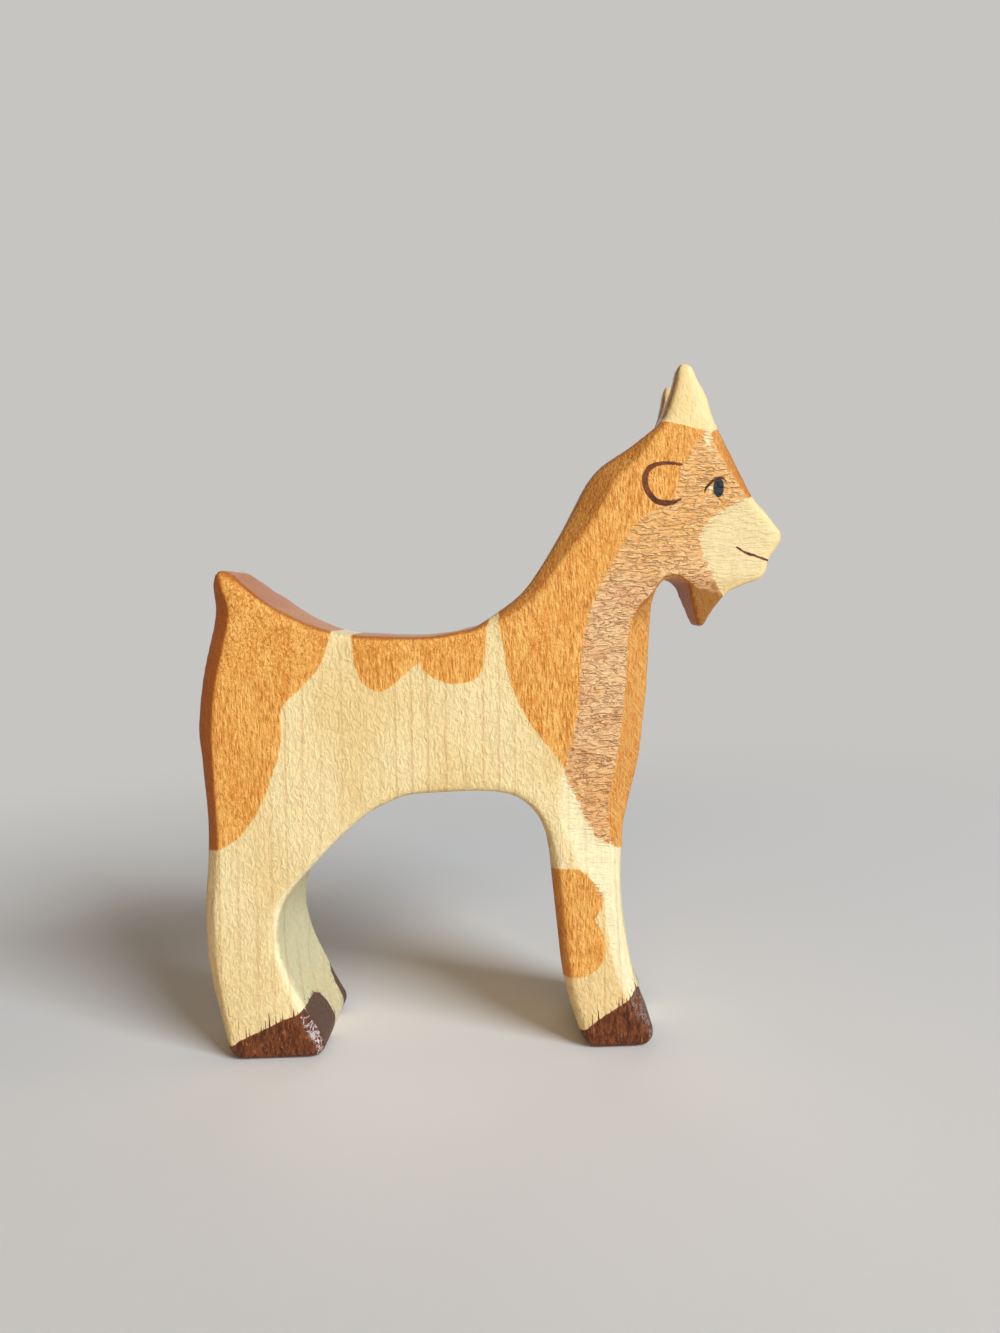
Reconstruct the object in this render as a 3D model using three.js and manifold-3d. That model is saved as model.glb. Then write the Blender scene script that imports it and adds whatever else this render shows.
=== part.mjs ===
// Carved wooden goat, one board of maple, sawn to a side outline and then eased with a knife and a plane.
// Millimetres. X runs from the tail to the muzzle, Z up from the soles, Y across the board.
import * as THREE from 'three';
import { mergeVertices } from 'three/addons/utils/BufferGeometryUtils.js';
import Module from 'manifold-3d';

const wasm = await Module();
wasm.setup();

// The board that the figure is sawn from.
const BOARD_THICKNESS = 27;

// Trunk. Lengths along X are measured from the middle of the arch between the legs.
const ARCH_HEIGHT = 49.4;         // soles up to the belly
const ARCH_HALF_SPAN = 26.3;      // middle of the arch to the shin at either end
const TRUNK_DEPTH = 29.5;         // belly up to the low point of the back
const SADDLE_SHIFT = 4.5;         // low point of the back ahead of the arch's middle
const TAIL_REACH = 33.2;          // tail tip behind the arch's middle
const TAIL_RISE = 15.5;           // tail tip above the low point of the back
const TAIL_SWEEP = 2.88;          // how late the back turns up into the tail
const RUMP_REACH = 39.5;          // buttock behind the arch's middle
const FLANK_REACH = 38.6;         // hollow under the buttock

// Hind leg, from the shin backwards and from the sole up.
const HIND_SHIN_Z = 22.5;
const HIND_SHANK = 14.1;          // leg thickness at the shin
const HIND_TOE_REACH = 7.6;       // toe ahead of the shin
const HIND_HOOF_LENGTH = 18.5;
const HIND_HOCK_Z = 36;

// Foreleg.
const FORE_KNEE_Z = 31;
const FORE_SHANK = 12.5;          // leg thickness at the knee
const FORE_TOE_REACH = 4.8;       // toe ahead of the knee
const FORE_HOOF_LENGTH = 13.4;
const HOOF_ROUND = 3;             // rounding of the hoof's toe and heel

// Chest and neck.
const CHEST_RISE = 16.3;          // belly up to the front of the chest
const CHEST_SWELL = 6.4;          // chest ahead of the front of the knee
const CHEST_TO_THROAT = 18;       // chest up to the throat
const THROAT_SWELL = 1.7;         // throat ahead of the chest

// Slot between the throat and the beard.
const SLOT_WIDTH = 7;
const SLOT_DEPTH = 4;

// Head, from the top of the slot.
const BEARD_LENGTH = 10.2;
const BEARD_LEAN = 2.5;           // beard tip ahead of its root
const BEARD_WIDTH = 6.6;
const CHIN_Z = 1.6;               // jaw's low point below the top of the slot
const CHIN_BACK = 4.6;            // chin behind the tip of the nose
const MUZZLE_REACH = 18.3;        // slot to the tip of the nose
const MUZZLE_Z = 6.8;
const LIP_STEP = 3;               // mouth line behind the tip of the nose
const LIP_Z = 2.5;
const BROW_REACH = 10.6;
const BROW_Z = 17.3;
const FOREHEAD_LENGTH = 11.3;     // brow up to the root of the horn
const FOREHEAD_LEAN = 5.9;        // root of the horn behind the brow
const POLL_BACK = 10.5;           // back of the head behind the horn's root
const POLL_DROP = 7.2;            // and below it

// Horns.
const HORN_LENGTH = 10.1;
const HORN_ROOT = 9.5;            // root of the horn, front to back
const HORN_TIP_ROUND = 1.9;
const HORN_TIP_BACK = 4.9;        // horn tip behind the front of its root
const HORN_GAP = 6;               // clear width between the roots
const HORN_TIP_THICKNESS = 5;     // across the board, where the tip starts to round
const HORN_LEAN = 6;              // outer face leaning in, degrees
const HORN_SQUARENESS = 3.6;      // 2 would be a round section, larger is squarer

// Eased edges. Width on the side face and depth into the board are the same.
const EASE_FINE = 1.2;            // soles, and the front before its bevel
const EASE_SHIN = 1.1;
const EASE_HIND_TOE = 2.4;
const EASE_BELLY = 1.2;
const EASE_FORE_BACK = 1.6;
const EASE_HORN = 0.9;
const EASE_POLL = 3;
const EASE_NAPE = 4.3;            // widest, behind the ear
const EASE_WITHERS = 2.3;
const EASE_BACK = 0.9;
const EASE_RUMP = 3.4;
const EASE_FLANK = 2.3;
const EASE_HIND_BACK = 2.6;
const EASE_HEEL = 1.4;
const EASE_LIMIT = 0.8;           // most of a narrow tip's half width that easing may take

// Section of an eased edge between the side face and the outline: shares of its width and depth
// at the middle, for a rounded edge and for a flat one that ends in a sharp arris.
const ROUNDED = [0.36, 0.36];
const FLAT = [0.15, 0.71];

// Planed facet from the forehead over the cheek and down the neck to the knee.
const FACET_TILT = 13;            // degrees to the side face
const FACET_AT_KNEE = 3.8;        // edge of the facet behind the front of the leg
const FACET_AT_ELBOW = 10.6;      // behind the front of the leg, below the chest
const FACET_AT_CHEST = 13.2;      // behind the chest
const FACET_AT_THROAT = 13.4;     // behind the throat
const FACET_AT_EAR = 25.6;        // behind the brow
const FACET_AT_HORN = 2.9;        // behind the front of the horn's root

// Bevels worked along the front edges once the facet is there. Width seen from the side.
const BEVEL_FORELEG = 2.2;
const BEVEL_CHEST = 4.6;
const BEVEL_FOREHEAD = 2.4;
const BEVEL_MUZZLE = 1.2;
const BEVEL_TILT = 50;            // degrees to the side face

// Cut that thins the beard and the underside of the jaw.
const BEARD_TILT = 30;            // degrees to the side face
const BEARD_CUT_DROP = 0.9;       // its upper edge below the top of the slot

const OUTLINE_STEP = 1.7;         // spacing of the outline's points

// Points of the side outline that the sizes above lead to.
const shinX = -ARCH_HALF_SPAN;
const kneeBackX = ARCH_HALF_SPAN;
const kneeX = kneeBackX + FORE_SHANK;
const backZ = ARCH_HEIGHT + TRUNK_DEPTH;
const chestX = kneeX + CHEST_SWELL;
const throatX = chestX + THROAT_SWELL;
const chestZ = ARCH_HEIGHT + CHEST_RISE;
const throatZ = chestZ + CHEST_TO_THROAT;
const slotTopZ = throatZ + SLOT_DEPTH;
const slotX = throatX + SLOT_WIDTH;
const noseX = slotX + MUZZLE_REACH;
const noseZ = slotTopZ + MUZZLE_Z;
const browX = slotX + BROW_REACH;
const browZ = slotTopZ + BROW_Z;
const hornX = browX - FOREHEAD_LEAN;
const hornZ = browZ + FOREHEAD_LENGTH;
const hornTipX = hornX - HORN_TIP_BACK;
const hornTipZ = hornZ + HORN_LENGTH;
const hornBackX = hornX - HORN_ROOT;
const pollX = hornBackX - POLL_BACK;
const pollZ = hornZ - POLL_DROP;

// Outline gathered run by run, counter-clockwise from the hind toe. Every point carries its easing,
// the width of the bevel that follows the facet on the front edges, and how flat its easing is.
const outline = [];

// Width at a share of a run, where a list of widths is spread evenly along it.
function widthAt(widths, share) {
  const list = [widths].flat();
  const place = share * (list.length - 1);
  const low = Math.floor(place);
  return THREE.MathUtils.lerp(list[low], list[Math.min(low + 1, list.length - 1)], place - low);
}

function addPoints(points, ease, bevel, flat) {
  points.forEach((p, i) => {
    const last = outline[outline.length - 1];
    if (last && Math.hypot(last.x - p.x, last.z - p.y) < OUTLINE_STEP * 0.2) return;
    outline.push({ x: p.x, z: p.y, ease: widthAt(ease, i / (points.length - 1)), bevel, flat });
  });
}

// Smooth run through the points given.
function run(points, ease, bevel = 0, flat = 0) {
  const curve = new THREE.SplineCurve(points.map(([x, z]) => new THREE.Vector2(x, z)));
  const count = Math.max(2, Math.round(curve.getLength() / OUTLINE_STEP));
  addPoints(curve.getSpacedPoints(count), ease, bevel, flat);
}

// Rounded corner that bends from one run to the next.
function corner(from, tip, to, ease, bevel = 0, flat = 0) {
  const [a, b, c] = [from, tip, to].map(([x, z]) => new THREE.Vector2(x, z));
  const curve = new THREE.QuadraticBezierCurve(a, b, c);
  const count = Math.max(4, Math.round(curve.getLength() / (OUTLINE_STEP * 0.6)));
  addPoints(curve.getSpacedPoints(count), ease, bevel, flat);
}

// Inside of the hind leg, the belly and the back of the foreleg.
const hindToeX = shinX + HIND_TOE_REACH;
const foreHeelX = kneeX + FORE_TOE_REACH - FORE_HOOF_LENGTH;
run([
  [hindToeX, HOOF_ROUND],
  [shinX + 4.3, HIND_SHIN_Z * 0.43],
  [shinX + 1.6, HIND_SHIN_Z * 0.71],
  [shinX, HIND_SHIN_Z],
  [shinX + 0.8, HIND_SHIN_Z + 6],
  [shinX + 2.9, HIND_SHIN_Z + 9.5],
], [EASE_HIND_TOE, EASE_SHIN, EASE_SHIN, EASE_SHIN], 0, 1);
run([
  [shinX + 2.9, HIND_SHIN_Z + 9.5],
  [shinX + 7, ARCH_HEIGHT - 13],
  [shinX + 16.2, ARCH_HEIGHT - 4.6],
  [shinX + 21.6, ARCH_HEIGHT - 1.5],
  [1, ARCH_HEIGHT],
  [11, ARCH_HEIGHT + 0.2],
  [kneeBackX - 7.4, ARCH_HEIGHT - 0.7],
  [kneeBackX - 3, ARCH_HEIGHT - 4.3],
  [kneeBackX - 1.3, ARCH_HEIGHT - 8.5],
], EASE_BELLY);
run([
  [kneeBackX - 1.3, ARCH_HEIGHT - 8.5],
  [kneeBackX - 0.6, FORE_KNEE_Z + 3],
  [kneeBackX - 0.1, FORE_KNEE_Z - 6],
  [kneeBackX + 0.9, FORE_KNEE_Z * 0.43],
  [foreHeelX - 0.4, HOOF_ROUND],
], EASE_FORE_BACK, 0, 1);

// Fore hoof.
const foreToeX = kneeX + FORE_TOE_REACH;
corner([foreHeelX - 0.4, HOOF_ROUND], [foreHeelX + 0.6, 0], [foreHeelX + HOOF_ROUND, 0], EASE_FINE);
corner([foreToeX - HOOF_ROUND, 0], [foreToeX + 0.2, 0], [foreToeX, HOOF_ROUND], EASE_FINE);

// Front of the foreleg, chest and throat.
run([
  [foreToeX, HOOF_ROUND],
  [kneeX + 2.9, FORE_KNEE_Z * 0.29],
  [kneeX + 0.7, FORE_KNEE_Z * 0.64],
  [kneeX, FORE_KNEE_Z],
  [kneeX + 1, FORE_KNEE_Z + 10.5],
], EASE_FINE, BEVEL_FORELEG);
run([
  [kneeX + 1, FORE_KNEE_Z + 10.5],
  [chestX - 2, chestZ - 13],
  [chestX, chestZ],
  [chestX + 0.9, chestZ + CHEST_TO_THROAT / 2],
  [throatX - 0.3, throatZ - 1.5],
], EASE_FINE, BEVEL_CHEST);

// Slot under the jaw and the beard.
const beardTipX = slotX + BEARD_LEAN;
const beardTipZ = slotTopZ - BEARD_LENGTH;
const slotRound = SLOT_WIDTH / 2;
corner([throatX - 0.3, throatZ - 1.5], [throatX, slotTopZ - 0.4], [throatX + slotRound, slotTopZ], EASE_FINE);
corner([throatX + slotRound, slotTopZ], [slotX, slotTopZ], [slotX + 0.3, slotTopZ - 4], EASE_FINE);
const beardCornerZ = beardTipZ - 0.6;
corner([beardTipX - 0.8, beardTipZ + 1.6], [beardTipX - 0.1, beardCornerZ], [beardTipX + 0.9, beardTipZ + 1.5], EASE_FINE);
run([
  [beardTipX + 0.9, beardTipZ + 1.5],
  [slotX + BEARD_WIDTH * 0.72, slotTopZ - 6.4],
  [slotX + BEARD_WIDTH + 0.8, slotTopZ - CHIN_Z - 1.7],
], EASE_FINE);

// Jaw, mouth and nose.
const jawX = noseX - CHIN_BACK;
const lipX = noseX - LIP_STEP;
const lipZ = slotTopZ + LIP_Z;
run([
  [slotX + BEARD_WIDTH + 0.8, slotTopZ - CHIN_Z - 1.7],
  [jawX - 3, slotTopZ - CHIN_Z - 0.3],
  [jawX, slotTopZ - CHIN_Z + 0.6],
], EASE_FINE);
const chin = [jawX, slotTopZ - CHIN_Z + 0.6];
corner(chin, [jawX + 1.8, slotTopZ + 0.8], [lipX, lipZ], EASE_FINE, BEVEL_MUZZLE);
const noseUnder = [noseX - 1.4, noseZ - 2.2];
const noseTop = [noseX - 1, noseZ + 1.7];
corner(noseUnder, [noseX + 0.9, noseZ + 0.2], noseTop, EASE_FINE, BEVEL_MUZZLE);
run([
  noseTop,
  [noseX - 3.6, noseZ + 4.8],
  [browX + 1.8, browZ - 3.3],
  [browX, browZ],
], EASE_FINE, BEVEL_MUZZLE);

// Forehead and horn.
run([
  [browX, browZ],
  [browX - FOREHEAD_LEAN * 0.54, browZ + FOREHEAD_LENGTH * 0.55],
  [hornX, hornZ],
], EASE_FINE, BEVEL_FOREHEAD);
const tipRound = HORN_TIP_ROUND;
run([
  [hornX, hornZ],
  [hornX - 1.1, hornZ + HORN_LENGTH * 0.4],
  [hornTipX + tipRound * 1.3, hornTipZ - tipRound * 1.9],
], EASE_HORN);
corner(
  [hornTipX + tipRound * 1.3, hornTipZ - tipRound * 1.9],
  [hornTipX + tipRound * 0.6, hornTipZ + 0.1],
  [hornTipX, hornTipZ],
  EASE_HORN,
);
corner(
  [hornTipX, hornTipZ],
  [hornTipX - tipRound * 0.7, hornTipZ],
  [hornTipX - tipRound, hornTipZ - tipRound * 1.6],
  EASE_HORN,
);
run([
  [hornTipX - tipRound, hornTipZ - tipRound * 1.6],
  [hornBackX + 1, hornZ + HORN_LENGTH * 0.26],
  [hornBackX - 0.6, hornZ - 1],
], EASE_HORN);

// Poll and nape. The nape's points lie at shares of the way from the low back to the poll.
function napePoint(along, up) {
  return [THREE.MathUtils.lerp(SADDLE_SHIFT, pollX, along), THREE.MathUtils.lerp(backZ, pollZ, up)];
}
const withers = napePoint(0.26, 0.035);
run([
  [hornBackX - 0.6, hornZ - 1],
  [pollX + 4.6, pollZ + 2.5],
  [pollX, pollZ],
  napePoint(0.92, 0.911),
  napePoint(0.844, 0.774),
  napePoint(0.739, 0.568),
  napePoint(0.624, 0.371),
  napePoint(0.492, 0.205),
  withers,
], [EASE_HORN, EASE_POLL, EASE_NAPE, EASE_NAPE, EASE_POLL, EASE_WITHERS, EASE_WITHERS, EASE_BACK], 0, 1);

// Back, tail and rump.
const tailX = -TAIL_REACH;
const tailZ = backZ + TAIL_RISE;
const backSpan = SADDLE_SHIFT - tailX;
function backPoint(t) {
  return [SADDLE_SHIFT - backSpan * t, backZ + TAIL_RISE * t ** TAIL_SWEEP];
}
run([withers, ...[0, 0.35, 0.55, 0.75, 0.9].map(backPoint)], EASE_BACK);
corner(backPoint(0.9), [tailX - 0.8, tailZ + 1.1], [tailX - 1.7, tailZ - 5], [EASE_BACK, EASE_RUMP], 0, 1);
run([
  [tailX - 1.7, tailZ - 5],
  [tailX - 2.2, backZ + 4],
  [-RUMP_REACH + 1.3, backZ - 6],
  [-RUMP_REACH, backZ - 15],
  [-RUMP_REACH + 0.3, backZ - 22],
  [-FLANK_REACH, ARCH_HEIGHT - 3],
  [-FLANK_REACH - 0.8, HIND_HOCK_Z],
], [EASE_RUMP, EASE_RUMP, EASE_RUMP, EASE_FLANK, EASE_HIND_BACK], 0, 1);

// Back of the hind leg and its hoof.
const hindBackX = shinX - HIND_SHANK;
const hindHeelX = hindToeX - HIND_HOOF_LENGTH;
run([
  [-FLANK_REACH - 0.8, HIND_HOCK_Z],
  [hindBackX, HIND_SHIN_Z + 3.5],
  [hindBackX + 0.5, HIND_SHIN_Z - 6.5],
  [hindHeelX, HOOF_ROUND],
], [EASE_HIND_BACK, EASE_HIND_BACK, EASE_HEEL], 0, 1);
corner([hindHeelX, HOOF_ROUND], [hindHeelX + 0.8, 0], [hindHeelX + HOOF_ROUND, 0], EASE_FINE);
corner([hindToeX - HOOF_ROUND, 0], [hindToeX + 0.6, 0], [hindToeX, HOOF_ROUND], EASE_FINE);

// Last point falls on the first one.
const closing = outline[outline.length - 1];
if (Math.hypot(closing.x - outline[0].x, closing.z - outline[0].z) < OUTLINE_STEP * 0.2) outline.pop();

// Widths flow into one another instead of stepping at the ends of the runs.
function smoothed(widths, rounds) {
  const count = widths.length;
  let flow = widths;
  for (let k = 0; k < rounds; k += 1) {
    flow = flow.map((w, i) => (flow[(i + count - 1) % count] + 2 * w + flow[(i + 1) % count]) / 4);
  }
  return flow;
}

// Outward direction of the outline at a point, square to the chord between its neighbours.
function outwardAt(points, i) {
  const count = points.length;
  const before = points[(i + count - 1) % count];
  const after = points[(i + 1) % count];
  const chord = new THREE.Vector2(after.x - before.x, after.z - before.z).normalize();
  return new THREE.Vector2(chord.y, -chord.x);
}

// Radius of the largest round that touches the outline at a point and stays inside it.
function roomAt(points, i, out) {
  const here = points[i];
  let room = Infinity;
  for (const p of points) {
    const [dx, dz] = [here.x - p.x, here.z - p.z];
    const inward = dx * out.x + dz * out.y;
    if (inward > 1e-6) room = Math.min(room, (dx * dx + dz * dz) / (2 * inward));
  }
  return room;
}

// Sawn blank with both sides eased: rings of the outline stepping in towards each side face.
function sawnBlank() {
  const half = BOARD_THICKNESS / 2;
  const outward = outline.map((p, i) => outwardAt(outline, i));
  const wanted = smoothed(outline.map((p) => p.ease), 3);
  const flats = smoothed(outline.map((p) => p.flat), 3);
  const widths = wanted.map((w, i) => Math.min(w, EASE_LIMIT * roomAt(outline, i, outward[i])));
  const ring = (side, round, flat) => outline.map((p, i) => {
    const inset = widths[i] * THREE.MathUtils.lerp(round[0], flat[0], flats[i]);
    const depth = widths[i] * THREE.MathUtils.lerp(round[1], flat[1], flats[i]);
    return [p.x - outward[i].x * inset, side * (half - depth), p.z - outward[i].y * inset];
  });
  const [onFace, onOutline] = [[1, 0], [0, 1]];
  const rings = [
    ring(-1, onFace, onFace),
    ring(-1, ROUNDED, FLAT),
    ring(-1, onOutline, onOutline),
    ring(1, onOutline, onOutline),
    ring(1, ROUNDED, FLAT),
    ring(1, onFace, onFace),
  ];
  const count = outline.length;
  const face = rings[0].map(([x, , z]) => new THREE.Vector2(x, z));
  const caps = THREE.ShapeUtils.triangulateShape(face, []);
  const index = [];
  for (let r = 0; r + 1 < rings.length; r += 1) {
    for (let i = 0; i < count; i += 1) {
      const j = (i + 1) % count;
      const [a, b, c, d] = [r * count + i, r * count + j, (r + 1) * count + j, (r + 1) * count + i];
      index.push(a, c, b, a, d, c);
    }
  }
  const far = (rings.length - 1) * count;
  for (const [a, b, c] of caps) {
    index.push(a, b, c);
    index.push(far + a, far + c, far + b);
  }
  return bufferOf(rings.flat(), index);
}

function bufferOf(points, index) {
  const geometry = new THREE.BufferGeometry();
  geometry.setAttribute('position', new THREE.Float32BufferAttribute(points.flat(), 3));
  geometry.setIndex(index);
  return geometry;
}

// Solid swept through a row of three-cornered sections, listed in either turn.
function wedge(sections) {
  const [a0, b0, c0] = sections[0].map((p) => new THREE.Vector3(...p));
  const along = new THREE.Vector3(...sections[1][0]).sub(a0);
  const facing = b0.sub(a0).cross(c0.sub(a0)).dot(along);
  const rows = facing > 0 ? sections : sections.map((row) => [...row].reverse());
  const index = [0, 2, 1];
  for (let s = 0; s + 1 < rows.length; s += 1) {
    for (let k = 0; k < 3; k += 1) {
      const [a, b] = [s * 3 + k, s * 3 + (k + 1) % 3];
      index.push(a, b, b + 3, a, b + 3, a + 3);
    }
  }
  const end = (rows.length - 1) * 3;
  index.push(end, end + 1, end + 2);
  return bufferOf(rows.flat(), index);
}

// Upper edge of the facet on the side face, from the leg up to the horn.
const facetBorder = new THREE.SplineCurve([
  [foreToeX - 1.2, HOOF_ROUND],
  [kneeX - FACET_AT_KNEE + 3.5, FORE_KNEE_Z * 0.32],
  [kneeX - FACET_AT_KNEE + 1, FORE_KNEE_Z * 0.63],
  [kneeX - FACET_AT_KNEE, FORE_KNEE_Z - 3],
  [kneeX - FACET_AT_ELBOW + 3, FORE_KNEE_Z + 4],
  [kneeX - FACET_AT_ELBOW, FORE_KNEE_Z + 11.5],
  [chestX - FACET_AT_CHEST - 3.4, chestZ - 14],
  [chestX - FACET_AT_CHEST, chestZ],
  [throatX - FACET_AT_THROAT, throatZ - 5],
  [browX - FACET_AT_EAR, browZ - 14],
  [browX - FACET_AT_EAR + 6, browZ - 6],
  [browX - FACET_AT_EAR + 11.9, browZ + 1],
  [hornX - FACET_AT_HORN, hornZ - 3],
  [hornX + 1, hornZ + 6],
].map(([x, z]) => new THREE.Vector2(x, z))).getPoints(40);
const facetSlope = Math.tan(THREE.MathUtils.degToRad(FACET_TILT));

// Depth of the facet below the side face at a place on the side outline.
function facetDepth(x, z) {
  const upper = facetBorder.findIndex((p) => p.y >= z);
  if (upper < 1) return 0;
  const [low, high] = [facetBorder[upper - 1], facetBorder[upper]];
  const edge = THREE.MathUtils.lerp(low.x, high.x, (z - low.y) / (high.y - low.y));
  return Math.max(0, (x - edge) * facetSlope);
}

// Waste beside the facet of the cheek and the neck, on the side given.
function cheekWaste(side) {
  const half = BOARD_THICKNESS / 2;
  const over = 4;
  const reach = 60;
  return wedge(facetBorder.map((p) => [
    [p.x - over, side * (half + facetSlope * over), p.y],
    [p.x + reach, side * (half + facetSlope * over), p.y],
    [p.x + reach, side * (half - facetSlope * reach), p.y],
  ]));
}

// Waste along each bevelled stretch of the front edge, on the side given.
function bevelWaste(side) {
  const half = BOARD_THICKNESS / 2;
  const slope = Math.tan(THREE.MathUtils.degToRad(BEVEL_TILT));
  const widths = smoothed(outline.map((p) => p.bevel), 5);
  const [inside, outside] = [0.3, 1.5];
  const stretches = [];
  let sections = [];
  outline.forEach((p, i) => {
    if (widths[i] > 0.05) {
      const out = outwardAt(outline, i);
      const crease = widths[i];
      const face = half - facetDepth(p.x - out.x * crease, p.z - out.y * crease);
      const at = (offset, y) => [p.x + out.x * offset, side * y, p.z + out.y * offset];
      sections.push([
        at(-crease - inside, face + inside * slope),
        at(outside, face - (crease + outside) * slope),
        at(outside, face + inside * slope),
      ]);
    } else if (sections.length > 0) {
      stretches.push(wedge(sections));
      sections = [];
    }
  });
  return stretches;
}

// Waste beside the beard and under the jaw, on the side given. Its edge lies on the facet.
function beardWaste(side) {
  const slope = Math.tan(THREE.MathUtils.degToRad(BEARD_TILT));
  const low = 24;
  const rise = 3;
  return wedge([slotX - 1.4, noseX + 6].map((x, i) => {
    const edgeZ = slotTopZ - BEARD_CUT_DROP + i * 0.8;
    const yEdge = BOARD_THICKNESS / 2 - facetDepth(x, edgeZ);
    return [
      [x, side * (yEdge + slope * rise), edgeZ + rise],
      [x, side * (yEdge - slope * low), edgeZ - low],
      [x, side * (yEdge + slope * rise + 12), edgeZ - low],
    ];
  }));
}

// Places where the outline crosses a height between the back and the front of the horn.
function hornSpan(z) {
  const xs = [];
  outline.forEach((p, i) => {
    const q = outline[(i + 1) % outline.length];
    if (p.x < hornX - HORN_ROOT - 6 || (p.z - z) * (q.z - z) > 0 || p.z === q.z) return;
    xs.push(THREE.MathUtils.lerp(p.x, q.x, (z - p.z) / (q.z - p.z)));
  });
  return [Math.min(...xs), Math.max(...xs)];
}

// One horn on the side given: squarish rounds that follow the side outline up to a domed tip.
function horn(side) {
  const lean = Math.tan(THREE.MathUtils.degToRad(HORN_LEAN));
  const half = BOARD_THICKNESS / 2;
  const rootZ = hornZ - 1.2;
  const crownZ = hornTipZ - HORN_TIP_ROUND;
  const around = 32;
  const points = [];
  const rows = 14;
  for (let r = 0; r <= rows; r += 1) {
    const t = r / rows;
    const z = THREE.MathUtils.lerp(rootZ, hornTipZ - 0.05, t);
    const dome = Math.sqrt(Math.max(0, 1 - (Math.max(0, z - crownZ) / HORN_TIP_ROUND) ** 2));
    const [back, front] = hornSpan(Math.min(z, crownZ));
    const outer = half - lean * (z - rootZ);
    const inner = THREE.MathUtils.lerp(HORN_GAP / 2, outer - HORN_TIP_THICKNESS, t ** 0.8);
    const flare = 0.5 * Math.max(0, 1 - t * 5) ** 2;
    const lengthwise = (front - back) / 2 * (0.4 + 0.6 * dome) + flare;
    const across = (outer - inner) / 2 * (0.4 + 0.6 * dome) + flare;
    for (let k = 0; k < around; k += 1) {
      const angle = (k / around) * Math.PI * 2;
      const power = 2 / HORN_SQUARENESS;
      const u = Math.sign(Math.cos(angle)) * Math.abs(Math.cos(angle)) ** power;
      const v = Math.sign(Math.sin(angle)) * Math.abs(Math.sin(angle)) ** power;
      points.push([(front + back) / 2 + u * lengthwise, side * ((outer + inner) / 2) + v * across, z]);
    }
  }
  const index = [];
  for (let r = 0; r < rows; r += 1) {
    for (let k = 0; k < around; k += 1) {
      const [a, b] = [r * around + k, r * around + (k + 1) % around];
      index.push(a, b, b + around, a, b + around, a + around);
    }
  }
  for (let k = 1; k + 1 < around; k += 1) {
    index.push(0, k + 1, k);
    index.push(rows * around, rows * around + k, rows * around + k + 1);
  }
  return bufferOf(points, index);
}

// Wood above the crown of the head, before the horns are left standing in it.
function crownBlock() {
  const size = [HORN_ROOT + 16, BOARD_THICKNESS + 6, HORN_LENGTH + 8];
  const block = new THREE.BoxGeometry(...size);
  block.translate(hornX - HORN_ROOT / 2, 0, hornZ - 0.6 + size[2] / 2);
  return block;
}

function solidOf(geometry) {
  const bare = geometry.clone();
  bare.deleteAttribute('normal');
  bare.deleteAttribute('uv');
  const welded = mergeVertices(bare, 1e-4);
  return new wasm.Manifold(new wasm.Mesh({
    numProp: 3,
    vertProperties: new Float32Array(welded.attributes.position.array),
    triVerts: new Uint32Array(welded.index.array),
  }));
}

function geometryOf(solid) {
  const mesh = solid.getMesh();
  const geometry = new THREE.BufferGeometry();
  geometry.setAttribute('position', new THREE.BufferAttribute(new Float32Array(mesh.vertProperties), 3));
  geometry.setIndex(new THREE.BufferAttribute(new Uint32Array(mesh.triVerts), 1));
  return geometry;
}

function carveGoat() {
  let body = solidOf(sawnBlank());
  let crown = solidOf(crownBlock());
  for (const side of [-1, 1]) {
    body = body.subtract(solidOf(cheekWaste(side)));
    body = body.subtract(solidOf(beardWaste(side)));
    for (const strip of bevelWaste(side)) body = body.subtract(solidOf(strip));
    crown = crown.subtract(solidOf(horn(side)));
  }
  body = body.subtract(crown);
  const geometry = geometryOf(body);
  geometry.computeBoundingBox();
  const box = geometry.boundingBox;
  geometry.translate(-(box.min.x + box.max.x) / 2, 0, -box.min.z);
  return geometry;
}

const maple = new THREE.MeshStandardMaterial({ color: 0xf0dca6, roughness: 0.5, metalness: 0 });
maple.name = 'painted_maple';

const goatBody = new THREE.Mesh(carveGoat(), maple);
goatBody.name = 'goat_body';

const group = new THREE.Group();
group.name = 'wooden_goat_figure';
group.add(goatBody);

export default group;
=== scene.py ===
"""Looks of a carved and painted wooden goat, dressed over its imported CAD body.

Everything is in the CAD frame: X runs from the tail to the muzzle, Y across the board to the goat's left
and Z up from the soles. Sizes that a maker would read off the figure are in millimetres, and are turned
into metres where Blender takes them.
"""

from __future__ import annotations

import logging
import math
from dataclasses import dataclass, field
from enum import Enum
from functools import reduce
from typing import Any, Callable, NamedTuple, Sequence

import bpy
import numpy as np
from mathutils import Matrix, Vector

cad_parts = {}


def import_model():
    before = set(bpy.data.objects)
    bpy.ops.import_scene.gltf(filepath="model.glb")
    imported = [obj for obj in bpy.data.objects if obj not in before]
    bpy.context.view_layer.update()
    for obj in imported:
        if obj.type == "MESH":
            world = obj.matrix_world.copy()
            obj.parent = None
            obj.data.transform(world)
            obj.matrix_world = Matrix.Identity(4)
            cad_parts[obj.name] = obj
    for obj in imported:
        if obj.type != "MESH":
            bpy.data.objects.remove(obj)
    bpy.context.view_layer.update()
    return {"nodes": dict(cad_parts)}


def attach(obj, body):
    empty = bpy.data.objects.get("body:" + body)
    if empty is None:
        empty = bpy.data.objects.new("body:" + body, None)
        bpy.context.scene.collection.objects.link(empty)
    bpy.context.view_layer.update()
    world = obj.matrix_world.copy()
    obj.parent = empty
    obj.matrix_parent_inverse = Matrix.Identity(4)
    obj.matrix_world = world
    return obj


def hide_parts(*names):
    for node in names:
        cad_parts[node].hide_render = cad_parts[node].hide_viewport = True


LOG = logging.getLogger("wooden_goat")

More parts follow.
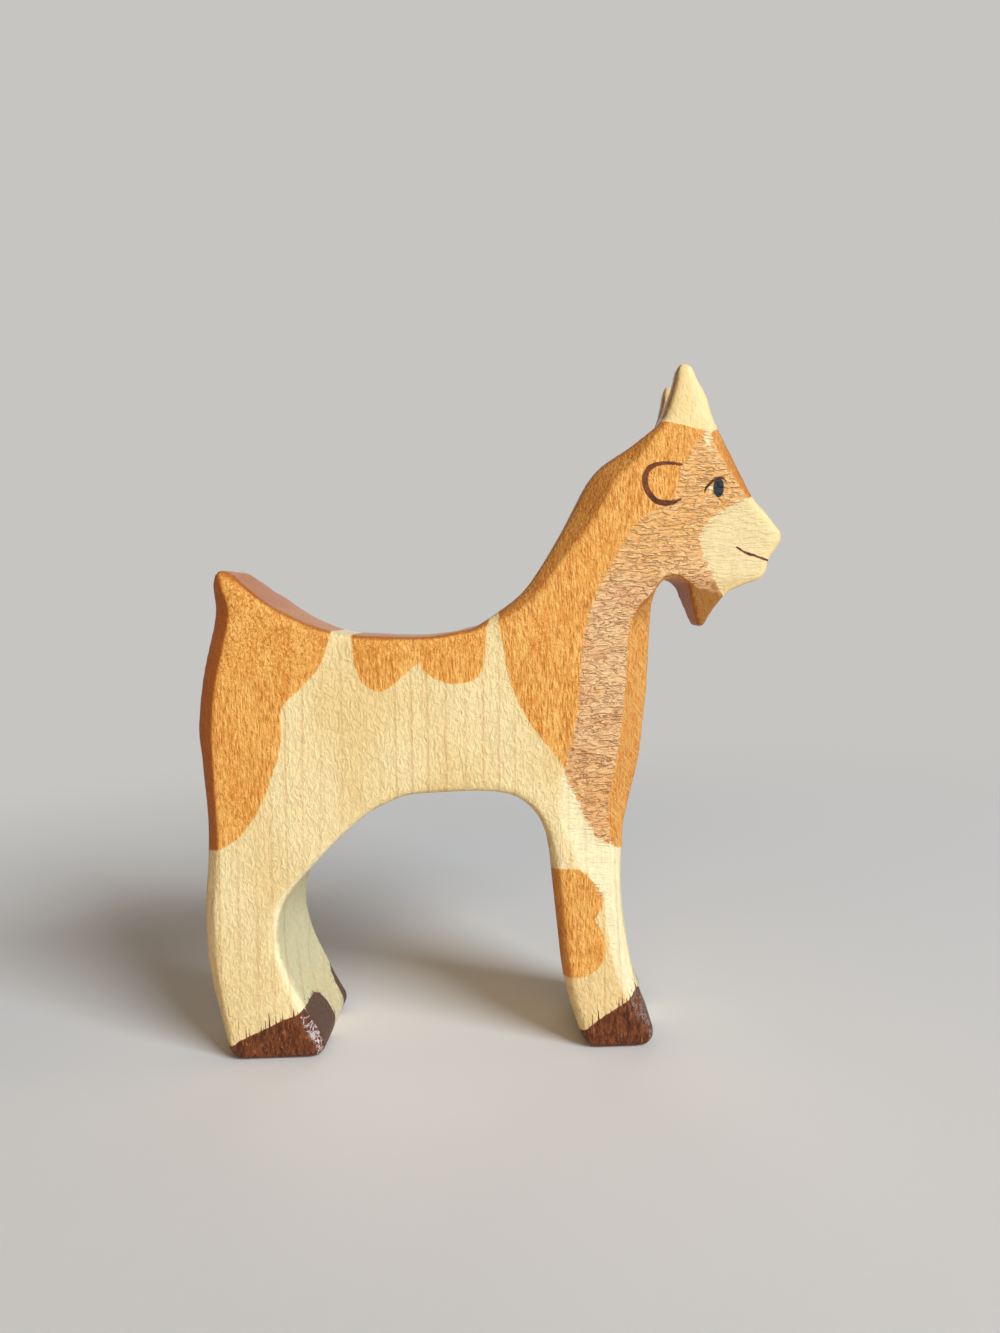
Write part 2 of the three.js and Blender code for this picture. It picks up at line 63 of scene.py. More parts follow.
MM = 0.001
TINY = 1e-12
OUT_OF_REACH = 50.0  # Distance given to places that a layer of paint can't get to.

# The cut that thins the beard starts ahead of THROAT_X, where Z + BEARD_SLOPE * X falls below BEARD_LEVEL.
THROAT_X = 36.0
BEARD_SLOPE = 0.377
BEARD_LEVEL = 100.65

Point = tuple[float, float]
Triple = tuple[float, float, float]
Colour = tuple[float, float, float, float]
Socket = bpy.types.NodeSocket


def srgb(red: int, green: int, blue: int) -> Colour:
    """Turn a display colour into the linear colour that a shader takes.

    Args:
        red: Red, 0 to 255.
        green: Green, 0 to 255.
        blue: Blue, 0 to 255.

    Returns:
        Linear red, green and blue with full opacity.
    """
    shares = [value / 255.0 for value in (red, green, blue)]
    linear = [s / 12.92 if s <= 0.04045 else ((s + 0.055) / 1.055) ** 2.4 for s in shares]
    return (*linear, 1.0)


class PaintLayer(Enum):
    """Layers of stain, paint and ink, each kept on the mesh as a distance to its edge in millimetres."""

    STAIN = "stain_edge"
    BONE = "bone_edge"
    HOOF = "hoof_edge"
    INK = "ink_edge"
    PUPIL = "pupil_edge"
    GLEAM = "gleam_edge"
    WORN = "worn_edge"
    FACET = "facet_edge"


class Places(NamedTuple):
    """Places on the figure's surface, as arrays of millimetres."""

    x: np.ndarray
    y: np.ndarray
    z: np.ndarray


def smooth_line(points: Sequence[Point], closed: bool, steps: int = 6) -> np.ndarray:
    """Run a smooth line through brush points.

    Args:
        points: Points that the brush passes, in millimetres along X and Z.
        closed: Whether the line comes back to its first point.
        steps: Pieces between one point and the next.

    Returns:
        An array of points on the line.
    """
    count = len(points)
    around = np.arange(count if closed else count - 1)[:, None] + np.arange(-1, 3)
    around = around % count if closed else around.clip(0, count - 1)
    before, start, end, after = np.array(points)[around].transpose(1, 0, 2)[:, :, None]
    t = (np.arange(steps) / steps)[:, None]
    bend = 2 * before - 5 * start + 4 * end - after
    twist = 3 * start - before - 3 * end + after
    line = 0.5 * (2 * start + (end - before) * t + bend * t**2 + twist * t**3)
    line = line.reshape(-1, 2)
    return line if closed else np.vstack([line, points[-1]])


def nearest_on_line(at: Places, line: np.ndarray, closed: bool) -> tuple[np.ndarray, np.ndarray]:
    """Measure how far places lie from a line on the side face.

    Args:
        at: Places to measure from.
        line: Points of the line along X and Z.
        closed: Whether its last point joins its first.

    Returns:
        The distance of each place, and the share of the line's length at which it is nearest.
    """
    best = np.full(at.x.shape, np.inf)
    along = np.zeros(at.x.shape)
    ends = np.roll(line, -1, axis=0) if closed else line[1:]
    starts = line if closed else line[:-1]
    lengths = np.hypot(*(ends - starts).T)
    before = np.concatenate([[0.0], np.cumsum(lengths)])
    for i, (start, end) in enumerate(zip(starts, ends)):
        x, z = at.x - start[0], at.z - start[1]
        step_x, step_z = end - start
        t = np.clip((x * step_x + z * step_z) / max(step_x**2 + step_z**2, TINY), 0.0, 1.0)
        away = np.hypot(x - t * step_x, z - t * step_z)
        nearer = away < best
        best = np.where(nearer, away, best)
        along = np.where(nearer, (before[i] + t * lengths[i]) / max(before[-1], TINY), along)
    return best, along


def rising(values: np.ndarray, start: float, end: float) -> np.ndarray:
    """Rise evenly from 0 at one value to 1 at another."""
    return np.clip((values - start) / (end - start), 0.0, 1.0)


def is_inside(at: Places, line: np.ndarray) -> np.ndarray:
    """Tell which places a closed line goes round.

    Args:
        at: Places to look at.
        line: Points of the closed line along X and Z.

    Returns:
        True for each place inside.
    """
    inside = np.zeros(at.x.shape, dtype=bool)
    for start, end in zip(line, np.roll(line, -1, axis=0)):
        crosses = (start[1] > at.z) != (end[1] > at.z)
        height = end[1] - start[1] if abs(end[1] - start[1]) > TINY else TINY
        inside ^= crosses & (at.x < (end[0] - start[0]) * (at.z - start[1]) / height + start[0])
    return inside


@dataclass(frozen=True)
class Patch:
    """A patch of colour laid on with a brush.

    Attributes:
        brush: Points of the edge that shows on the side face, along X and Z.
        beyond: Corners outside the figure that close the patch.
    """

    brush: tuple[Point, ...]
    beyond: tuple[Point, ...] = ()

    def edge(self, at: Places) -> np.ndarray:
        """Measure the distance to the patch's edge.

        Args:
            at: Places to measure from.

        Returns:
            Distances, below zero inside the patch.
        """
        painted = smooth_line(self.brush, closed=not self.beyond)
        outline = np.vstack([painted, self.beyond]) if self.beyond else painted
        away, _ = nearest_on_line(at, outline, closed=True)
        return np.where(is_inside(at, outline), -away, away)


@dataclass(frozen=True)
class Stroke:
    """A line drawn with a fine brush.

    Attributes:
        brush: Points that the brush passes, along X and Z.
        widths: Width of the line at even shares of its length.
    """

    brush: tuple[Point, ...]
    widths: tuple[float, ...]

    def edge(self, at: Places) -> np.ndarray:
        """Measure the distance to the line's edge.

        Args:
            at: Places to measure from.

        Returns:
            Distances, below zero on the line.
        """
        away, along = nearest_on_line(at, smooth_line(self.brush, closed=False), closed=False)
        shares = np.linspace(0.0, 1.0, len(self.widths))
        return away - np.interp(along, shares, self.widths) / 2.0


@dataclass(frozen=True)
class Oval:
    """An upright oval dab of paint.

    Attributes:
        middle: Its middle along X and Z.
        half: Its half width and half height.
    """

    middle: Point
    half: Point

    def edge(self, at: Places) -> np.ndarray:
        """Measure the distance to the oval's edge.

        Args:
            at: Places to measure from.

        Returns:
            Distances, below zero inside the oval.
        """
        x, z = (at.x - self.middle[0]) / self.half[0], (at.z - self.middle[1]) / self.half[1]
        return (np.hypot(x, z) - 1.0) * self.half[0]


@dataclass(frozen=True)
class FacePaint:
    """The drawn face, on both sides of the head.

    Attributes:
        ear, lid, mouth: Lines in brown ink.
        pupil: The eye's dark pupil.
        gleam: Pale spot behind the pupil.
        pale_ridge: Pale line where the cheek meets the forehead.
        side_from: Distance from the board's middle beyond which a place is on a side.
        off_side: Distance given to the places between the sides.
    """

    ear: Stroke = Stroke(
        brush=(
            (36.4, 107.8), (34.8, 108.1), (33.15, 108.2), (31.5, 107.9), (30.35, 107.15), (29.75, 105.75),
            (29.9, 104.1), (30.5, 102.8), (31.5, 101.65), (32.6, 101.2), (34.0, 101.1), (35.0, 101.25),
            (36.3, 101.7),
        ),
        widths=(0.5, 0.65, 0.7, 0.75, 0.95, 1.1, 1.1, 1.05, 1.0, 1.05, 1.1, 0.75, 0.25),
    )
    lid: Stroke = Stroke(
        brush=(
            (40.75, 102.85), (41.1, 103.65), (41.8, 104.4), (42.65, 105.05), (43.5, 105.3), (44.35, 105.15),
            (45.05, 104.4),
        ),
        widths=(0.2, 0.42, 0.5, 0.55, 0.5, 0.38, 0.12),
    )
    mouth: Stroke = Stroke(
        brush=((47.05, 92.75), (48.1, 92.05), (49.55, 91.35), (50.4, 91.15), (52.0, 90.5), (53.4, 90.1)),
        widths=(0.34, 0.42, 0.56, 0.4, 0.42, 0.42),
    )
    pupil: Oval = Oval((43.43, 103.6), (1.03, 1.72))
    gleam: Oval = Oval((41.95, 103.3), (0.34, 0.55))
    pale_ridge: Stroke = Stroke(
        brush=((40.9, 114.0), (41.15, 111.8), (42.1, 110.2), (43.3, 108.3), (44.7, 106.3), (46.6, 103.3)),
        widths=(0.3, 0.8, 0.6, 0.45, 0.4, 0.0),
    )
    side_from: float = 4.0
    off_side: float = 9.0

    def edges(self, at: Places) -> dict[PaintLayer, np.ndarray]:
        """Measure the edges of all that is drawn.

        Args:
            at: Places to measure from.

        Returns:
            The distance to each layer's edge, below zero where the layer lies.
        """
        drawn = {
            PaintLayer.INK: np.minimum.reduce([line.edge(at) for line in (self.ear, self.lid, self.mouth)]),
            PaintLayer.PUPIL: self.pupil.edge(at),
            PaintLayer.GLEAM: self.gleam.edge(at),
            PaintLayer.WORN: self.pale_ridge.edge(at),
        }
        on_side = np.abs(at.y) > self.side_from
        return {layer: np.where(on_side, away, self.off_side) for layer, away in drawn.items()}


@dataclass(frozen=True)
class HoofPaint:
    """Brown paint on one pair of hooves, with a bare strip down the front between left and right.

    Attributes:
        top: Points of the paint's top edge on the side face, from heel to toe.
        front_from: Where along X the front of the leg starts.
        heights: Heights at which the bare strip's two edges are given.
        near_strip: Y of the strip's edge on the photographed side at each height.
        far_strip: Y of its other edge at each height.
        sole: X of the flat sole's two ends.
        top_slant: Distance to the slanting top edge for each millimetre of height.
        beyond: How far past the heel and the toe the paint may reach.
        sole_half_width: Half width of the bare sole.
        sole_z: Height up to which the sole counts.
        sole_slant: Distance to the sole for each millimetre above it.
        sole_rim: Width of the paint that runs in under the sole.
    """

    top: tuple[Point, ...]
    front_from: float
    heights: tuple[float, ...]
    near_strip: tuple[float, ...]
    far_strip: tuple[float, ...]
    sole: Point
    top_slant: float = 0.88
    beyond: Point = (6.0, 8.0)
    sole_half_width: float = 12.0
    sole_z: float = 0.25
    sole_slant: float = 4.0
    sole_rim: float = 0.4

    def edge(self, at: Places) -> np.ndarray:
        """Measure the distance to the paint's edge.

        Args:
            at: Places to measure from.

        Returns:
            Distances, below zero in the paint.
        """
        x, y, z = at
        top_x, top_z = np.array(self.top).T
        above = (z - np.interp(x, top_x, top_z)) * self.top_slant
        within_reach = (x > top_x[0] - self.beyond[0]) & (x < top_x[-1] + self.beyond[1])
        near, far = (np.interp(z, self.heights, edge) for edge in (self.near_strip, self.far_strip))
        strip = np.where(x > self.front_from, np.maximum(near - y, y - far), OUT_OF_REACH)
        past_ends = np.maximum(self.sole[0] - x, x - self.sole[1])
        past_sides = np.abs(y) - self.sole_half_width
        bare_sole = np.maximum.reduce([past_ends, past_sides, (z - self.sole_z) * self.sole_slant])
        edge = np.maximum.reduce([above, -strip, -bare_sole - self.sole_rim])
        return np.where(within_reach, edge, OUT_OF_REACH)


@dataclass(frozen=True)
class CoatPattern:
    """The goat's markings, the same on both sides of the board.

    Attributes:
        rump, saddle_rear, saddle_front, neck, knee: Patches of orange stain.
        muzzle, horns: Patches of bone paint.
        hind_hooves, fore_hooves: Brown paint on the hooves.
        face: The drawn face.
        crown_half_width, crown_z: Half width and top of the stain that goes on between the horns.
    """

    rump: Patch = Patch(
        brush=(
            (-28.6, 82.5), (-28.8, 80.6), (-29.3, 78.8), (-30.5, 75.8), (-32.2, 73.0), (-35.5, 69.8),
            (-38.2, 67.4), (-39.0, 65.3), (-39.0, 61.9), (-39.7, 58.3), (-41.0, 54.6), (-42.7, 50.6),
            (-44.7, 47.0), (-47.4, 43.5), (-49.7, 41.8), (-51.6, 40.8), (-53.0, 40.5), (-56.6, 40.2),
        ),
        beyond=((-80.0, 40.0), (-80.0, 110.0), (-28.6, 110.0)),
    )
    saddle_rear: Patch = Patch(
        brush=(
            (-25.1, 82.0), (-25.1, 79.1), (-25.0, 76.3), (-24.5, 73.4), (-23.5, 70.9), (-21.9, 69.6),
            (-19.8, 69.1), (-17.2, 70.7), (-14.6, 72.9), (-12.8, 74.3), (-11.6, 75.8),
        ),
        beyond=((-9.6, 110.0), (-25.1, 110.0)),
    )
    saddle_front: Patch = Patch(
        brush=(
            (-14.0, 75.8), (-12.9, 74.0), (-11.8, 72.4), (-9.7, 70.8), (-6.6, 69.9), (-3.6, 70.2),
            (-1.7, 71.5), (-0.7, 74.5), (-0.4, 77.3), (-0.2, 79.6), (0.4, 81.4), (0.9, 84.0),
        ),
        beyond=((0.9, 110.0), (-16.0, 110.0)),
    )
    neck: Patch = Patch(
        brush=(
            (2.2, 86.0), (2.2, 82.3), (2.2, 80.2), (2.7, 76.8), (3.3, 72.2), (4.6, 67.4), (6.5, 63.2),
            (8.5, 59.9), (11.0, 56.6), (12.9, 53.5), (13.9, 50.8), (15.2, 47.6), (16.6, 43.9),
            (17.8, 41.1), (19.3, 39.5), (21.0, 38.6), (22.9, 37.4), (25.4, 37.0),
        ),
        beyond=((80.0, 37.0), (80.0, 140.0), (2.2, 140.0)),
    )
    knee: Patch = Patch(
        brush=(
            (10.2, 34.6), (13.0, 34.5), (15.1, 34.3), (16.7, 33.1), (18.1, 31.5), (19.0, 29.6),
            (19.2, 28.1), (18.8, 26.6), (18.0, 25.5), (17.5, 24.7), (18.3, 23.6), (19.0, 22.1),
            (19.45, 20.2), (19.2, 18.2), (18.2, 16.0), (16.6, 14.7), (14.7, 14.0), (12.9, 13.9), (11.0, 14.1),
        ),
        beyond=((2.0, 15.0), (2.0, 33.6)),
    )
    muzzle: Patch = Patch(
        brush=(
            (52.5, 102.2), (50.5, 102.0), (49.3, 101.6), (47.9, 101.1), (46.5, 100.6), (45.1, 100.0),
            (43.8, 99.2), (42.2, 97.9), (40.8, 96.5), (39.9, 94.8), (40.1, 93.1), (40.8, 91.4),
            (41.6, 89.5), (42.3, 87.8), (43.2, 86.1), (44.4, 84.2), (45.4, 82.5),
        ),
        beyond=((46.0, 76.0), (80.0, 76.0), (80.0, 102.2)),
    )
    horns: Patch = Patch(
        brush=(
            (30.0, 117.0), (33.3, 115.8), (35.3, 115.4), (37.0, 114.9), (38.5, 114.4), (39.8, 114.1),
            (40.8, 113.8), (41.2, 112.7), (41.7, 111.0), (42.1, 111.4), (41.9, 113.0), (42.6, 113.8),
            (43.6, 114.2), (46.0, 114.8),
        ),
        beyond=((60.0, 115.6), (60.0, 140.0), (20.0, 140.0), (20.0, 119.0)),
    )
    hind_hooves: HoofPaint = HoofPaint(
        top=(
            (-56.0, 2.2), (-51.8, 3.0), (-50.0, 4.2), (-47.4, 5.3), (-44.8, 6.4), (-42.6, 7.4), (-40.5, 8.2),
            (-38.8, 8.7), (-38.0, 9.5), (-37.3, 9.9),
        ),
        front_from=-40.9,
        heights=(1.5, 3.0, 6.3, 8.4, 9.9),
        near_strip=(-3.1, -0.7, -0.5, -2.0, -5.4),
        far_strip=(7.4, 8.3, 8.9, 9.9, 12.2),
        sole=(-52.0, -36.6),
    )
    fore_hooves: HoofPaint = HoofPaint(
        top=(
            (11.0, 2.4), (14.9, 3.7), (16.6, 5.0), (18.9, 6.6), (21.6, 8.1), (23.5, 9.4), (24.5, 10.5),
            (25.1, 10.9), (26.6, 10.3),
        ),
        front_from=24.2,
        heights=(1.5, 4.0, 8.0, 11.0),
        near_strip=(-2.6, -1.4, -1.8, -4.6),
        far_strip=(7.0, 7.8, 8.6, 11.0),
        sole=(15.6, 26.6),
    )
    face: FacePaint = FacePaint()
    crown_half_width: float = 3.4
    crown_z: float = 117.0

    def edges(self, at: Places) -> dict[PaintLayer, np.ndarray]:
        """Measure the edge of every layer that a brush laid on.

        Args:
            at: Places to measure from.

        Returns:
            The distance to each layer's edge, below zero where the layer lies.
        """
        between_horns = np.maximum(np.abs(at.y) - self.crown_half_width, at.z - self.crown_z)
        horns = np.maximum(self.horns.edge(at), -between_horns)
        bone = np.minimum(self.muzzle.edge(at), horns)
        patches = (self.rump, self.saddle_rear, self.saddle_front, self.neck, self.knee)
        stain = np.minimum.reduce([patch.edge(at) for patch in patches])
        return {
            PaintLayer.STAIN: np.maximum(stain, -bone),
            PaintLayer.BONE: bone,
            PaintLayer.HOOF: np.minimum(self.hind_hooves.edge(at), self.fore_hooves.edge(at)),
            **self.face.edges(at),
        }


@dataclass(frozen=True)
class Grain:
    """Soft noise that follows the wood, whose fibres run up and down.

    Attributes:
        across: Patterns per millimetre across the fibres.
        along: Patterns per millimetre along them.
        detail: Number of finer layers.
        rough: Strength of the finer layers.
        swirl: How far the pattern is drawn out into curls.
    """

    across: float
    along: float
    detail: float = 2.0
    rough: float = 0.5
    swirl: float = 0.0


@dataclass(frozen=True)
class Mottle:
    """Patches that noise leaves in the wood.

    Attributes:
        grain: The noise.
        low: Level of the noise where the patches start to change.
        high: Level where they are done.
        out_low: Result below the change.
        out_high: Result above it.
    """

    grain: Grain
    low: float
    high: float
    out_low: float = 0.0
    out_high: float = 1.0


@dataclass
class ShaderBench:
    """A material or world under work, with short ways to add nodes to it.

    Attributes:
        tree: Nodes of the material or world.
    """

    tree: bpy.types.NodeTree

    def add(self, kind: str, **settings: Any) -> bpy.types.Node:
        """Add one node.

        Args:
            kind: Blender's name for the node.
            settings: Properties of the node.

        Returns:
            The new node.
        """
        node = self.tree.nodes.new(kind)
        for name, value in settings.items():
            setattr(node, name, value)
        return node

    def plug(self, socket: Socket, value: Any) -> None:
        """Link a socket to another one, or write a plain value on it.

        Args:
            socket: Socket that takes the value.
            value: Value or socket.
        """
        if isinstance(value, Socket):
            self.tree.links.new(value, socket)
        else:
            socket.default_value = value

    def fill(self, node: bpy.types.Node, **values: Any) -> None:
        """Plug several of a node's sockets, with underscores for the spaces in their names."""
        for name, value in values.items():
            self.plug(node.inputs[name.replace("_", " ")], value)

    def maths(self, operation: str, first: Any, second: Any = 0.0, third: Any = 0.0) -> Socket:
        """Work out a sum on two or three values.

        Args:
            operation: Name of the sum.
            first: First value or socket.
            second: Second value or socket.
            third: Third value or socket.

        Returns:
            The socket with the result.
        """
        node = self.add("ShaderNodeMath", operation=operation)
        for socket, value in zip(node.inputs, (first, second, third)):
            self.plug(socket, value)
        return node.outputs[0]

    def times(self, *factors: Any) -> Socket:
        """Multiply values or sockets together."""
        return reduce(lambda left, right: self.maths("MULTIPLY", left, right), factors)

    def most(self, *values: Any) -> Socket:
        """Take the largest of some values or sockets."""
        return reduce(lambda left, right: self.maths("MAXIMUM", left, right), values)

    def scale_add(self, value: Any, factor: Any, more: Any) -> Socket:
        """Multiply a value by a factor and add some more."""
        return self.maths("MULTIPLY_ADD", value, factor, more)

    def ramp(
        self, value: Any, low: float, high: float, out_low: float = 0.0, out_high: float = 1.0
    ) -> Socket:
        """Turn a value smoothly from one level to another.

        Args:
            value: Value or socket to read.
            low: Where the change starts.
            high: Where it ends.
            out_low: Result below the start.
            out_high: Result above the end.

        Returns:
            The socket with the result.
        """
        node = self.add("ShaderNodeMapRange", interpolation_type="SMOOTHSTEP")
        self.fill(node, Value=value, From_Min=low, From_Max=high, To_Min=out_low, To_Max=out_high)
        return node.outputs["Result"]

    def between(self, value: Any, rise: Point, fall: Point) -> Socket:
        """Pick out the middle stretch of a value.

        Args:
            value: Value or socket to read.
            rise: Where the result comes up from 0 to 1.
            fall: Where it goes back to 0.

        Returns:
            The socket with the result.
        """
        return self.times(self.ramp(value, *rise), self.ramp(value, *fall, 1.0, 0.0))

    def thread(self, value: Any, level: float, width: float) -> Socket:
        """Draw a thin line wherever a value passes a level.

        Args:
            value: Value or socket to read.
            level: Level that the line follows.
            width: Half width of the line, in the value's own units.

        Returns:
            The socket with 1 on the line and 0 off it.
        """
        away = self.maths("ABSOLUTE", self.maths("SUBTRACT", value, level))
        return self.ramp(away, 0.0, width, 1.0, 0.0)

    def blend(self, share: Any, under: Any, over: Any) -> Socket:
        """Lay one colour over another.

        Args:
            share: How much of the upper colour shows.
            under: Colour or socket below.
            over: Colour or socket above.

        Returns:
            The socket with the mixed colour.
        """
        node = self.add("ShaderNodeMix", data_type="RGBA")
        self.plug(node.inputs["Factor"], share)
        self.plug(node.inputs[6], under)
        self.plug(node.inputs[7], over)
        return node.outputs[2]

    def lay(self, ground: Any, *coats: tuple[Any, Any]) -> Socket:
        """Lay coats of colour over a ground, the lowest one first.

        Args:
            ground: Colour or socket at the bottom.
            coats: How much of each coat shows, and its colour or socket.

        Returns:
            The socket with the colour on top.
        """
        return reduce(lambda under, coat: self.blend(coat[0], under, coat[1]), coats, ground)

    def shade(self, colour: Any, factor: Any) -> Socket:
        """Multiply a colour by a grey value.

        Args:
            colour: Colour or socket.
            factor: Grey value or socket.

        Returns:
            The socket with the darker or lighter colour.
        """
        node = self.add("ShaderNodeVectorMath", operation="SCALE")
        self.plug(node.inputs[0], colour if isinstance(colour, Socket) else colour[:3])
        self.plug(node.inputs["Scale"], factor)
        return node.outputs[0]

    def show_backdrop(self, lit: Socket, shown: Socket, share: Any = 1.0) -> Socket:
        """Show the backdrop to the rays that see it: the camera's, and those off gloss and through glass.

        Args:
            lit: Shader that every other ray meets.
            shown: Shader with the backdrop's colour.
            share: How much of the backdrop shows.

        Returns:
            The socket with the mixed shader.
        """
        path = self.add("ShaderNodeLightPath").outputs
        seen = self.most(path["Is Camera Ray"], path["Is Glossy Ray"], path["Is Transmission Ray"])
        mix = self.add("ShaderNodeMixShader")
        for socket, value in zip(mix.inputs, (self.times(share, seen), lit, shown)):
            self.plug(socket, value)
        return mix.outputs[0]


@dataclass
class WoodBench(ShaderBench):
    """The figure's material under work, with what its layers read in common.

    Attributes:
        place: Place on the figure, in metres.
        x, y, z: Its parts, in millimetres.
        forward, up: Parts of the surface's normal, from -1 to 1.
        across: How squarely the surface faces either side, from 0 to 1.
        worm, fibre, ripple, short_ripple, curl: Patterns of the wood, from 0 to 1.
        facet: Share of the planed facet.
    """

    place: Socket = field(init=False)
    x: Socket = field(init=False)
    y: Socket = field(init=False)
    z: Socket = field(init=False)
    forward: Socket = field(init=False)
    up: Socket = field(init=False)
    across: Socket = field(init=False)
    worm: Socket = field(init=False)
    fibre: Socket = field(init=False)
    ripple: Socket = field(init=False)
    short_ripple: Socket = field(init=False)
    curl: Socket = field(init=False)
    facet: Socket = field(init=False)

    def __post_init__(self) -> None:
        """Read the place and the normal, and lay out the patterns."""
        surface = self.add("ShaderNodeTexCoord").outputs
        self.place = surface["Object"]
        self.x, self.y, self.z = self._parts(self._stretched(1.0, 1.0))
        self.forward, sideways, self.up = self._parts(surface["Normal"])
        self.across = self.maths("ABSOLUTE", sideways)
        self.worm = self.noise(Grain(1.35, 0.75, swirl=0.9))
        self.fibre = self.noise(Grain(3.0, 0.16, detail=3.0, rough=0.6))
        self.ripple = self.noise(Grain(0.48, 1.6, swirl=0.6))
        self.short_ripple = self.noise(Grain(0.9, 2.6, swirl=0.8))
        self.curl = self.noise(Grain(2.4, 1.8, detail=3.0, rough=0.55, swirl=0.9))

    def _parts(self, vector: Socket) -> tuple[Socket, ...]:
        """Take a vector apart.

        Args:
            vector: Socket with the vector.

        Returns:
            The sockets with its X, Y and Z.
        """
        node = self.add("ShaderNodeSeparateXYZ")
        self.plug(node.inputs[0], vector)
        return tuple(node.outputs)

    def _stretched(self, across: float, along: float) -> Socket:
        """Give the place on the figure in millimetres, stretched across and along the fibres.

        Args:
            across: Factor along X and Y.
            along: Factor along Z.

        Returns:
            The socket with the stretched place.
        """
        node = self.add("ShaderNodeMapping", vector_type="POINT")
        self.fill(node, Vector=self.place, Scale=(across / MM, across / MM, along / MM))
        return node.outputs["Vector"]

    def noise(self, grain: Grain, place: Socket | None = None) -> Socket:
        """Add soft noise.

        Args:
            grain: Scale and kind of the noise.
            place: Where to read it, if not at the grain's own scale on the figure.

        Returns:
            The socket with a value from 0 to 1.
        """
        if place is None:
            place = self._stretched(grain.across, grain.along)
        node = self.add("ShaderNodeTexNoise", noise_dimensions="3D")
        self.fill(node, Vector=place, Scale=1.0)
        self.fill(node, Detail=grain.detail, Roughness=grain.rough, Distortion=grain.swirl)
        return node.outputs["Fac"]

    def stray(self, grain: Grain) -> Socket:
        """Give noise that strays to either side of zero."""
        return self.maths("SUBTRACT", self.noise(grain), 0.5)

    def mottled(self, mottle: Mottle) -> Socket:
        """Give the patches that noise leaves in the wood."""
        return self.ramp(self.noise(mottle.grain), mottle.low, mottle.high, mottle.out_low, mottle.out_high)

    def layer(self, name: PaintLayer) -> Socket:
        """Read a paint layer's distance from the mesh."""
        node = self.add("ShaderNodeAttribute", attribute_name=name.value, attribute_type="GEOMETRY")
        return node.outputs["Fac"]


@dataclass(frozen=True)
class BareMaple:
    """Lacquered maple without stain.

    Attributes:
        cream, warm: The two tones of the sawn side.
        ring: Growth rings and pores.
        facet: Paler tone of the planed faces and of the bevels turned half forward: a painted sheen and
            highlight where they face the window.
        frontal_shade: Greyer tone of faces square to the front: painted shade.
        rear_shade: Darker tone of faces that turn to the back: painted shade.
        ring_spacing: From one growth ring to the next.
        ring_lean, ring_turn: How far the rings move along X for each millimetre up and across.
        ring_wander: How far they stray.
        wander: How slowly they stray.
        strength: How dark they are, from place to place.
        warmth: Where the warm tone lies.
        pores: Fine dark pores.
        crackle: Fine cracks in the planed faces.
    """

    cream: Colour = srgb(242, 220, 164)
    warm: Colour = srgb(236, 207, 146)
    ring: Colour = srgb(208, 160, 98)
    facet: Colour = srgb(243, 228, 182)
    frontal_shade: Colour = srgb(212, 207, 166)
    rear_shade: Colour = srgb(217, 180, 124)
    ring_spacing: float = 3.3
    ring_lean: float = -0.04
    ring_turn: float = 0.35
    ring_wander: float = 4.0
    wander: Grain = Grain(0.06, 0.006, detail=1.0)
    strength: Mottle = Mottle(Grain(0.12, 0.03, detail=1.0), 0.35, 0.65, 0.14, 0.46)
    warmth: Mottle = Mottle(Grain(0.07, 0.04), 0.4, 0.66)
    pores: Mottle = Mottle(Grain(2.4, 0.5), 0.66, 0.78, 0.0, 0.22)
    crackle: Grain = Grain(0.7, 0.6, swirl=1.2)

    def colour(self, bench: WoodBench) -> Socket:
        """Colour the wood, with the fibres and the shimmer of the sawn face.

        Args:
            bench: Material under work.

        Returns:
            The socket with the colour.
        """
        wood = bench.lay(
            self.cream,
            (bench.mottled(self.warmth), self.warm),
            # Painted sheen on the planed facet and painted highlight on the bevels turned half forward.
            (bench.times(bench.facet, 0.9), self.facet),
            (bench.between(bench.forward, (0.3, 0.5), (0.75, 0.88)), self.facet),
            # Painted shade on faces square to the front.
            (bench.ramp(bench.forward, 0.8, 0.95, 0.0, 0.8), self.frontal_shade),
            # Painted shade on faces that turn to the back.
            (bench.ramp(bench.forward, -0.3, -0.6, 0.0, 0.7), self.rear_shade),
            (self._rings(bench), self.ring),
            (bench.mottled(self.pores), self.ring),
        )
        fine = bench.ramp(bench.fibre, 0.3, 0.7, 0.975, 1.025)
        shimmer = bench.ramp(bench.worm, 0.38, 0.62, 0.93, 1.045)
        crackle = bench.times(bench.thread(bench.noise(self.crackle), 0.5, 0.012), bench.facet)
        return bench.shade(wood, bench.times(fine, shimmer, bench.scale_add(crackle, -0.07, 1.0)))

    def _rings(self, bench: WoodBench) -> Socket:
        """Draw the growth rings: each darkens slowly, ends sharply and is fainter on the facet.

        Args:
            bench: Material under work.

        Returns:
            The socket with the rings' share.
        """
        across = bench.scale_add(bench.z, self.ring_lean, bench.x)
        across = bench.scale_add(bench.y, self.ring_turn, across)
        across = bench.scale_add(bench.noise(self.wander), self.ring_wander, across)
        year = bench.maths("FRACT", bench.maths("DIVIDE", across, self.ring_spacing))
        line = bench.between(year, (0.72, 0.95), (0.95, 0.99))
        return bench.times(line, bench.mottled(self.strength), bench.scale_add(bench.facet, -0.5, 1.0))


